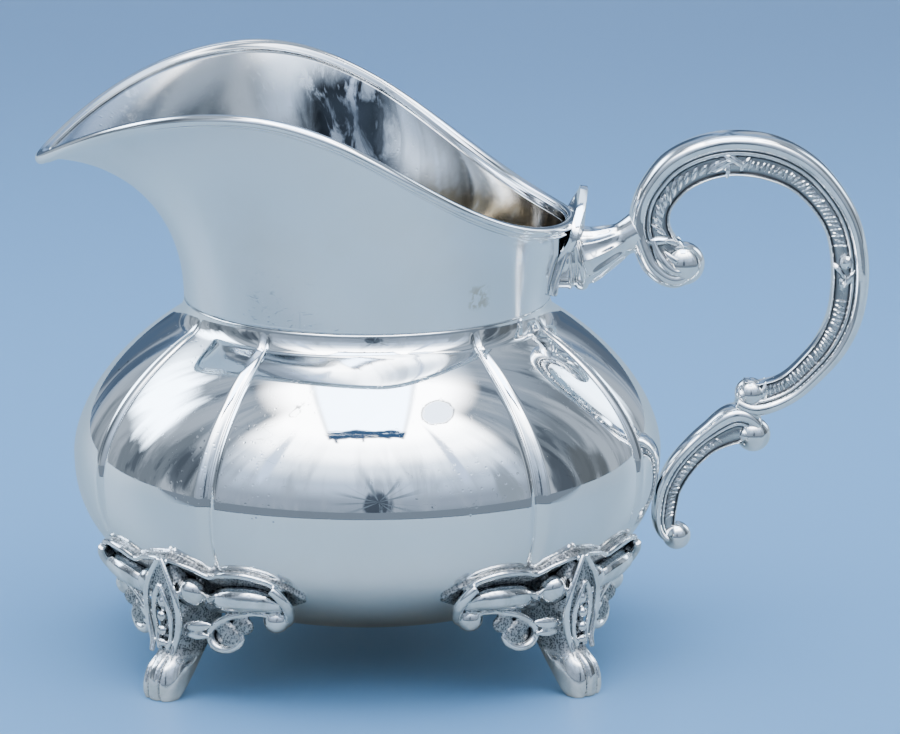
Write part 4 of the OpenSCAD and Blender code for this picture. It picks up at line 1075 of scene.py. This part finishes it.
def groundShapes():
    # the stippled ground, which lies under the polished scrolls and leaves
    shapes = [legShape(), bladeShape()]
    for side in (-1, 1):
        shapes.append(plateShape(side))
        for across, z, r, wide, tall in foot["voluteWeb"]:
            radii = (wide, tall, foot["voluteWebThickness"])
            shapes.append(ball(besideLeg(side * across, z, r), radii, 16, 28, [legSide, [0, 0, 1.0], legOut]))
    return shapes


def raisedShapes():
    shapes = [ball(besideLeg(0.0, z, foot["beadFront"]), (across, across, tall), 14, 20)
              for z, across, tall in foot["beads"]]
    for side in (-1, 1):
        shapes += [lineOnBowl(foot["rim"], side), lineOnBowl(foot["rib"], side, foot["ribFlat"]),
                   lineOnBowl(foot["hook"], side)]
        turn, z, off = foot["hookBall"]
        shapes.append(ball(onFoot(side * turn, z, off), foot["hookBallRadius"], 24, 32))
        turn, z, off = foot["boss"]
        normal = bowlNormals(side * turn, z)
        level = unit(np.cross([0, 0, 1.0], normal))
        shapes.append(ball(onFoot(side * turn, z, off), foot["bossRadii"], 24, 32,
                           [level, np.cross(normal, level), normal]))
        shapes.append(lineBesideLeg(foot["volute"], side))
        shapes += [leafShape(base, tip, half, side) for base, tip, half in foot["smallLeaves"]]
        shapes += [lineBesideLeg(foot["sideRidge"], side), lineBesideLeg(foot["innerRidge"], side)]
    return shapes


def gathered(items, key, width, kind):
    values = np.empty(len(items) * width, dtype=kind)
    items.foreach_get(key, values)
    return values.reshape(-1, width)


def fusedSkin(shapes):
    # overlapping closed shapes become one skin of small squares
    piece = meshObject("footSkin", joinShapes(shapes))
    runModifier(piece, "REMESH", mode="VOXEL", voxel_size=foot["voxel"] * mm)
    points = gathered(piece.data.vertices, "co", 3, float) / mm - np.array([axisX / mm, 0, 0])
    edges = gathered(piece.data.edges, "vertices", 2, np.int64)
    faces = gathered(piece.data.polygons, "vertices", 4, np.int64)
    bpy.data.objects.remove(piece)
    return relaxed(points, edges, 2), edges, faces


def relaxed(values, edges, rounds=1, share=0.5):
    # each value moves by a share towards the mean of its neighbours
    columns = values.reshape(len(values), -1)
    ends = np.concatenate([edges, edges[:, ::-1]])
    count = np.maximum(np.bincount(ends[:, 0], minlength=len(values)), 1)[:, None]
    for _ in range(rounds):
        total = np.stack([np.bincount(ends[:, 0], weights=column[ends[:, 1]], minlength=len(values))
                          for column in columns.T], -1)
        columns = columns + share * (total / count - columns)
    return columns.reshape(values.shape)


def vertexNormals(points, faces):
    a, b, c, d = (points[corner] for corner in faces.T)
    normal = np.cross(b - a, c - a) + np.cross(c - a, d - a)
    total = np.zeros_like(points)
    for corner in faces.T:
        for axis in range(3):
            total[:, axis] += np.bincount(corner, weights=normal[:, axis], minlength=len(points))
    return unit(total)


def deepPlaces(points, edges, normals):
    # nought on open faces and one in hollows, which smoothing would fill
    mask = np.zeros(len(points))
    for rounds, share in foot["hollows"]:
        soft = relaxed(points, edges, rounds, foot["hollowShare"])
        sink = np.einsum("ij,ij->i", soft - points, normals)
        mask = np.maximum(mask, smooth(sink / (foot["recessDepth"] * share) - foot["hollowEdge"]))
    return relaxed(mask, edges)


def groundMask(points, edges, ground, raised):
    # one where the ground shows, and nought where a raised form is nearer
    near = []
    for shapes in (ground, raised):
        shapePoints, shapeFaces = joinShapes(shapes)
        tree = BVHTree.FromPolygons(shapePoints.tolist(), shapeFaces)
        near.append(np.array([tree.find_nearest(p)[3] for p in points.tolist()]))
    shows = smooth((near[1] - near[0]) / foot["groundEdge"] + foot["groundShift"])
    low, high = foot["hoofTop"]
    return relaxed(shows * smooth((points[:, 2] - low) / (high - low)), edges)


def makeFeet():
    ground, raised = groundShapes(), raisedShapes()
    points, edges, faces = fusedSkin(ground + raised)
    stippled = groundMask(points, edges, ground, raised)
    for _ in range(foot["sinkRounds"]):  # what lies inside the bowl is drawn to just under its face
        azimuth = np.degrees(np.arctan2(points[:, 1], points[:, 0]))
        slope = bowlSlope(points[:, 2])
        off = (np.hypot(points[:, 0], points[:, 1]) - bowlRadius(azimuth, points[:, 2])) * slope[:, 0]
        push = np.clip(-foot["sunk"] - off, 0, None) * (points[:, 2] > bowl["clearHeight"] + foot["lowGap"])
        points += polar(push * slope[:, 0], azimuth, push * slope[:, 1])
    normals = vertexNormals(points, faces)
    deep = deepPlaces(points, edges, normals)
    grain = relaxed(np.random.default_rng(foot["seed"]).normal(size=len(points)), edges)
    recess = np.clip(np.maximum(stippled * foot["groundDark"], deep), 0, 1)
    points = points + normals * (grain * foot["stipple"] * stippled)[:, None]
    points[:, 2] = np.maximum(points[:, 2], 0)
    squares = [tuple(f) for f in faces.tolist()]
    mirrored = [f[::-1] for f in squares]
    for name, nodeName, x, y in (
            ("footFrontLeft", "foot_front_left", -1, -1), ("footFrontRight", "foot_front_right", 1, -1),
            ("footBackLeft", "foot_back_left", -1, 1), ("footBackRight", "foot_back_right", 1, 1)):
        shape = points * np.array([x, y, 1]), squares if x * y > 0 else mirrored
        finishPiece(meshObject(name, shape, {"recess": recess}), nodeName, silvers["foot"])
    print("feet have", len(faces), "squares each")


# Floor, light and camera
studio = {
    "floorHalf": 3.0, "floorRough": 0.5, "floorColour": (0.33, 0.5, 0.64, 1),
    # the floor's colour is painted darker farther back: painted shade where the light falls off
    "farShadeColour": (0.19, 0.255, 0.335, 1), "fade": (0.08, 0.6),
    # what the silver mirrors of the floor: a greyer sheet, which ends at a line in front of the piece
    "mirroredFloor": (0.54, 0.48, 0.4, 1), "sheetEdge": 0.211, "edgeSoft": 0.003, "edgeLine": 0.006,
    "ahead": (-0.05, -0.09),
    "sky": (1.44, 2.7, 4.7), "skyPower": 2.0,
    "azimuth": 1.94, "elevation": 13.5, "distance": 1010.0, "fieldWidth": 144.0, "sensor": 36.0,
    "clip": (0.05, 20), "target": (-0.62, 0.0, 44.9),
}
# The tent that the silver mirrors, painted by direction: turn from the front and height over level in degrees
tent = {
    "side": (0.19, 0.235, 0.29, 1), "highSide": (0.36, 0.46, 0.6, 1), "sideTop": (34, 52),
    "back": (0.3, 0.5, 0.85, 1), "backEdge": (140, 158),
    # streaks of the cloth: stretch by turn and height, and two tones with their share and strength
    "streaks": (0.11, 0.016),
    "streakTones": [((0.6, 0.72, 0.88, 1), (0.46, 0.62), 0.75), ((0.06, 0.08, 0.11, 1), (0.42, 0.34), 0.7)],
    # noises: scale, detail and distortion
    "streakNoise": (1.0, 4.0, 0.8), "foldNoise": (3.2, 2.0), "crumpleNoise": (2.6, 2.0, 1.2),
    "hemNoise": (3.1,), "wobbleNoise": (14.0,),
    # heights between which each colour of the front takes over
    "front": [(-12, 8, (0.36, 0.46, 0.62, 1)), (10, 27, (0.8, 1.05, 1.45, 1)), (27, 42, (2.3, 2.8, 3.5, 1)),
              (40, 52, (8, 8.6, 9.4, 1)), (52, 62, (13, 13.4, 14, 1))],
    "frontLow": (0.2, 0.26, 0.34, 1), "frontEdge": (74, 60), "frontShade": (0.45, 0.56, 0.72, 1),
    "shadeTop": (66, 26), "shadeStreak": (0.6, 0.34), "shadeStrength": 0.75,
    "crown": (60, 72), "farCrown": (1.9, 2.4, 3.1, 1), "crownEdge": (96, 128),
    # lamps: turn, height, half width, half height and colour, with their raggedness and soft edge
    "lamps": [(-124, 32, 23, 13, (8.0, 10.0, 12.5, 1)), (131, 21, 11, 17, (5.0, 6.4, 8.0, 1))],
    "lampRagged": 1.8, "lampEdge": (1.25, 0.4),
    "patches": [(-163, 10, 16, 22, (0.05, 0.075, 0.12, 1)), (163, 10, 16, 22, (0.055, 0.075, 0.11, 1)),
                (2, 8, 6, 13, (0.012, 0.02, 0.035, 1)), (-81, 16, 8, 26, (0.06, 0.08, 0.11, 1)),
                (80, 8, 7, 20, (0.07, 0.09, 0.12, 1)), (98, 9, 11, 15, (0.12, 0.14, 0.16, 1)),
                (54, 14, 7, 22, (0.32, 0.4, 0.5, 1)), (40, 42, 3, 24, (0.9, 1.2, 1.8, 1)),
                (-46, 40, 4, 20, (1.1, 1.5, 2.2, 1))],
    "patchRagged": 2.2, "patchEdge": (1.1, 0.6), "patchStrength": 0.85,
    # knot from which folds spread in the front: turn, height, half width and half height
    "knot": (3, 12, 22, 36), "knotFold": (0.2, 0.27, 0.36, 1), "line": (0.04, 0.055, 0.075, 1),
    "knotEdge": (1.0, 0.2), "foldEdge": (0.5, 0.6), "thinEdge": (0.005, 0.0015), "hemEdge": (0.58, 0.66),
    "hemStrength": 0.85,
    # opening overhead, on a level plane above the piece: low and high edge across and along, with softness
    "glow": (-0.26, 0.22, -0.15, 0.5), "glowColour": (2.4, 3.0, 3.8, 1), "glowStrength": 0.8,
    "core": (-0.235, 0.195, -0.13, 0.48), "coreColour": (7.5, 9.5, 12.5, 1), "wobble": 0.07,
    "ends": [(-0.26, 0.22, 0.445, 0.55), (-0.24, 0.19, -0.175, -0.12, 0.012, 0.008)],
    "drops": [(-0.225, -0.2, 0.53, 0.6, 0.01, 0.015), (-0.045, -0.03, 0.53, 0.6, 0.008, 0.015)],
    "window": (0.05, 0.12, 0.26, 1), "ring": (0.367, 0.212, 0.094, 0.13), "ringColour": (3.6, 4.3, 5.4, 1),
    "ringLine": (0.2, 0.27, 0.36, 1), "ringEdge": (1.0, 0.85), "ringBand": (0.93, 1.03, 0.06), "lowest": 0.01,
}


def paintTent(n):
    direction = n.add("ShaderNodeTexCoord").outputs["Generated"]
    x, y, z = (n.split(direction)[axis] for axis in "XYZ")
    front = n.sums("MULTIPLY", y, -1.0)
    turn = n.sums("DEGREES", n.sums("ARCTAN2", x, front))
    height = n.sums("DEGREES", n.sums("ARCSINE", z))
    away = n.sums("ABSOLUTE", turn)

    def faded(value, edges, strength):
        return n.sums("MULTIPLY", n.ramp(value, *edges), strength)

    def band(value, low, high, soft):
        rise, fall = n.ramp(value, low - soft, low + soft), n.ramp(value, high + soft, high - soft)
        return n.sums("MULTIPLY", rise, fall)

    def reachFrom(across, up, middleX, middleY, wide, tall):
        # distance from a middle, as a share of the half width and half height
        legs = [n.sums("DIVIDE", n.sums("SUBTRACT", value, middle), half)
                for value, middle, half in ((across, middleX, wide), (up, middleY, tall))]
        return n.sums("SQRT", n.sums("ADD", *(n.sums("MULTIPLY", leg, leg) for leg in legs)))

    def ragged(oval, amount):
        frayed = n.sums("MULTIPLY", n.sums("SUBTRACT", streak, 0.5), amount)
        return n.sums("ADD", reachFrom(turn, height, *oval), frayed)

    # folds of the cloth: long upright streaks
    across, up = (n.sums("MULTIPLY", value, stretch)
                  for value, stretch in zip((turn, height), tent["streaks"]))
    streak = n.noise(n.add("ShaderNodeCombineXYZ", {0: across, 1: up}).outputs[0], *tent["streakNoise"])
    colour = n.over(tent["side"], tent["highSide"], n.ramp(height, *tent["sideTop"]))
    colour = n.over(colour, tent["back"], n.ramp(away, *tent["backEdge"]))
    for tone, edges, strength in tent["streakTones"]:
        colour = n.over(colour, tone, faded(streak, edges, strength))
    for *oval, light in tent["lamps"]:
        colour = n.over(colour, light, n.ramp(ragged(oval, tent["lampRagged"]), *tent["lampEdge"]))
    cloth = tent["frontLow"]
    for low, high, light in tent["front"]:
        cloth = n.over(cloth, light, n.ramp(height, low, high))
    shade = n.sums("MULTIPLY", n.ramp(streak, *tent["shadeStreak"]), n.ramp(height, *tent["shadeTop"]))
    cloth = n.over(cloth, tent["frontShade"], n.sums("MULTIPLY", shade, tent["shadeStrength"]))
    colour = n.over(colour, cloth, n.ramp(away, *tent["frontEdge"]))
    crown = n.over(colour, tent["front"][-1][2], n.ramp(away, *reversed(tent["crownEdge"])))
    crown = n.over(crown, tent["farCrown"], n.ramp(away, *tent["crownEdge"]))
    colour = n.over(colour, crown, n.ramp(height, *tent["crown"]))
    for *oval, light in tent["patches"]:
        mask = faded(ragged(oval, tent["patchRagged"]), tent["patchEdge"], tent["patchStrength"])
        colour = n.over(colour, light, mask)
    # folds round the knot, and thin lines of stitching and hems
    spread = n.sums("ARCTAN2", *(n.sums("SUBTRACT", value, middle)
                                 for value, middle in zip((height, turn), reversed(tent["knot"][:2]))))
    folds = n.noise(n.add("ShaderNodeCombineXYZ", {0: spread}).outputs[0], *tent["foldNoise"])
    near = n.ramp(reachFrom(turn, height, *tent["knot"]), *tent["knotEdge"])
    colour = n.over(colour, tent["knotFold"], n.sums("MULTIPLY", n.ramp(folds, *tent["foldEdge"]), near))
    thin = n.sums("ABSOLUTE", n.sums("SUBTRACT", n.noise(direction, *tent["crumpleNoise"]), 0.5))
    patches = n.ramp(n.noise(direction, *tent["hemNoise"]), *tent["hemEdge"])
    hems = n.sums("MULTIPLY", n.ramp(thin, *tent["thinEdge"]), patches)
    colour = n.over(colour, tent["line"], n.sums("MULTIPLY", hems, tent["hemStrength"]))
    # opening overhead, dark at its two ends
    level = n.sums("MAXIMUM", z, tent["lowest"])
    acrossTop = n.sums("DIVIDE", x, level)
    wobble = n.sums("SUBTRACT", n.noise(direction, *tent["wobbleNoise"]), 0.5)
    wobble = n.sums("MULTIPLY", wobble, tent["wobble"])
    alongTop = n.sums("ADD", n.sums("DIVIDE", front, level), wobble)

    def box(left, right, near, far, softAcross=0.012, softAlong=0.012):
        return n.sums("MULTIPLY", band(acrossTop, left, right, softAcross),
                      band(alongTop, near, far, softAlong))

    colour = n.over(colour, tent["glowColour"], n.sums("MULTIPLY", box(*tent["glow"]), tent["glowStrength"]))
    colour = n.over(colour, tent["coreColour"], box(*tent["core"]))
    for first, second in (tent["ends"], tent["drops"]):
        colour = n.over(colour, tent["window"], n.sums("MAXIMUM", box(*first), box(*second)))
    far = reachFrom(acrossTop, alongTop, *tent["ring"])
    colour = n.over(colour, tent["ringColour"], n.ramp(far, *tent["ringEdge"]))
    return n.over(colour, tent["ringLine"], band(far, *tent["ringBand"]))


def makeFloor():
    half = studio["floorHalf"]
    mesh = bpy.data.meshes.new("paleFloor")
    corners = [(x * half, y * half, 0) for x, y in ((-1, -1), (1, -1), (1, 1), (-1, 1))]
    mesh.from_pydata(corners, [], [(0, 1, 2, 3)])
    floor = bpy.data.objects.new("paleFloor", mesh)
    bpy.context.scene.collection.objects.link(floor)
    material = bpy.data.materials.new("pale floor")
    material.use_nodes = True
    nodes, n = material.node_tree.nodes, NodeTools(material.node_tree)
    depth = n.split(n.place())["Y"]
    glossy = n.add("ShaderNodeLightPath").outputs["Is Glossy Ray"]
    # painted shade: the floor grows darker towards the back, where the light falls off
    colour = n.over(studio["floorColour"], studio["farShadeColour"], n.ramp(depth, *studio["fade"]))
    colour = n.over(colour, studio["mirroredFloor"], glossy)
    shader = n.feed(nodes["Principled BSDF"], {"Roughness": studio["floorRough"], "Base Color": colour})
    # past the sheet's edge the silver mirrors the foot of the tent, with a dark line before it
    edge, line = studio["sheetEdge"], studio["edgeLine"]
    came = n.split(n.add("ShaderNodeNewGeometry").outputs["Incoming"])["Z"]
    past = n.sums("MULTIPLY", n.line(came, edge + studio["edgeSoft"], edge), glossy)
    past = n.sums("MULTIPLY", past, n.line(depth, *studio["ahead"]))
    cloth = n.over(tent["line"], tent["frontLow"], n.line(came, edge - line, edge - 2 * line))
    glow = n.add("ShaderNodeEmission", {"Color": cloth})
    both = n.add("ShaderNodeMixShader", {0: past, 1: shader.outputs[0], 2: glow.outputs[0]})
    n.feed(nodes["Material Output"], {"Surface": both.outputs[0]})
    floor.data.materials.append(material)


def makeLight():
    # soft light from above for the floor, and the painted tent for whatever mirrors it
    world = bpy.data.worlds.new("studio")
    bpy.context.scene.world = world
    world.use_nodes = True
    world.cycles.sampling_method = "NONE"
    n = NodeTools(world.node_tree)
    rise = n.sums("MAXIMUM", n.split(n.add("ShaderNodeTexCoord").outputs["Generated"])["Z"], 0.0)
    sky = n.vector("SCALE", {0: studio["sky"], "Scale": n.sums("POWER", rise, studio["skyPower"])})
    glossy = n.add("ShaderNodeLightPath").outputs["Is Glossy Ray"]
    n.feed(world.node_tree.nodes["Background"], {"Color": n.over(sky, paintTent(n), glossy)})


def makeCamera():
    data = bpy.data.cameras.new("photoView")
    data.sensor_width = studio["sensor"]
    data.sensor_fit = "HORIZONTAL"
    data.lens = studio["sensor"] * studio["distance"] / studio["fieldWidth"]
    data.clip_start, data.clip_end = studio["clip"]
    camera = bpy.data.objects.new("photoView", data)
    turn, rise = math.radians(studio["azimuth"]), math.radians(studio["elevation"])
    towards = Vector((math.sin(turn) * math.cos(rise), math.cos(turn) * math.cos(rise), -math.sin(rise)))
    camera.location = Vector(studio["target"]) * mm - towards * studio["distance"] * mm
    camera.rotation_euler = towards.to_track_quat("-Z", "Y").to_euler()
    bpy.context.scene.collection.objects.link(camera)
    bpy.context.scene.camera = camera


makeCamera()
makeFloor()
makeLight()
makeBowl()
makeNeck()
makeRimWire()
makeSocketPlate()
makeBell()
makeHandle()
makeFeet()
print("all pieces made")
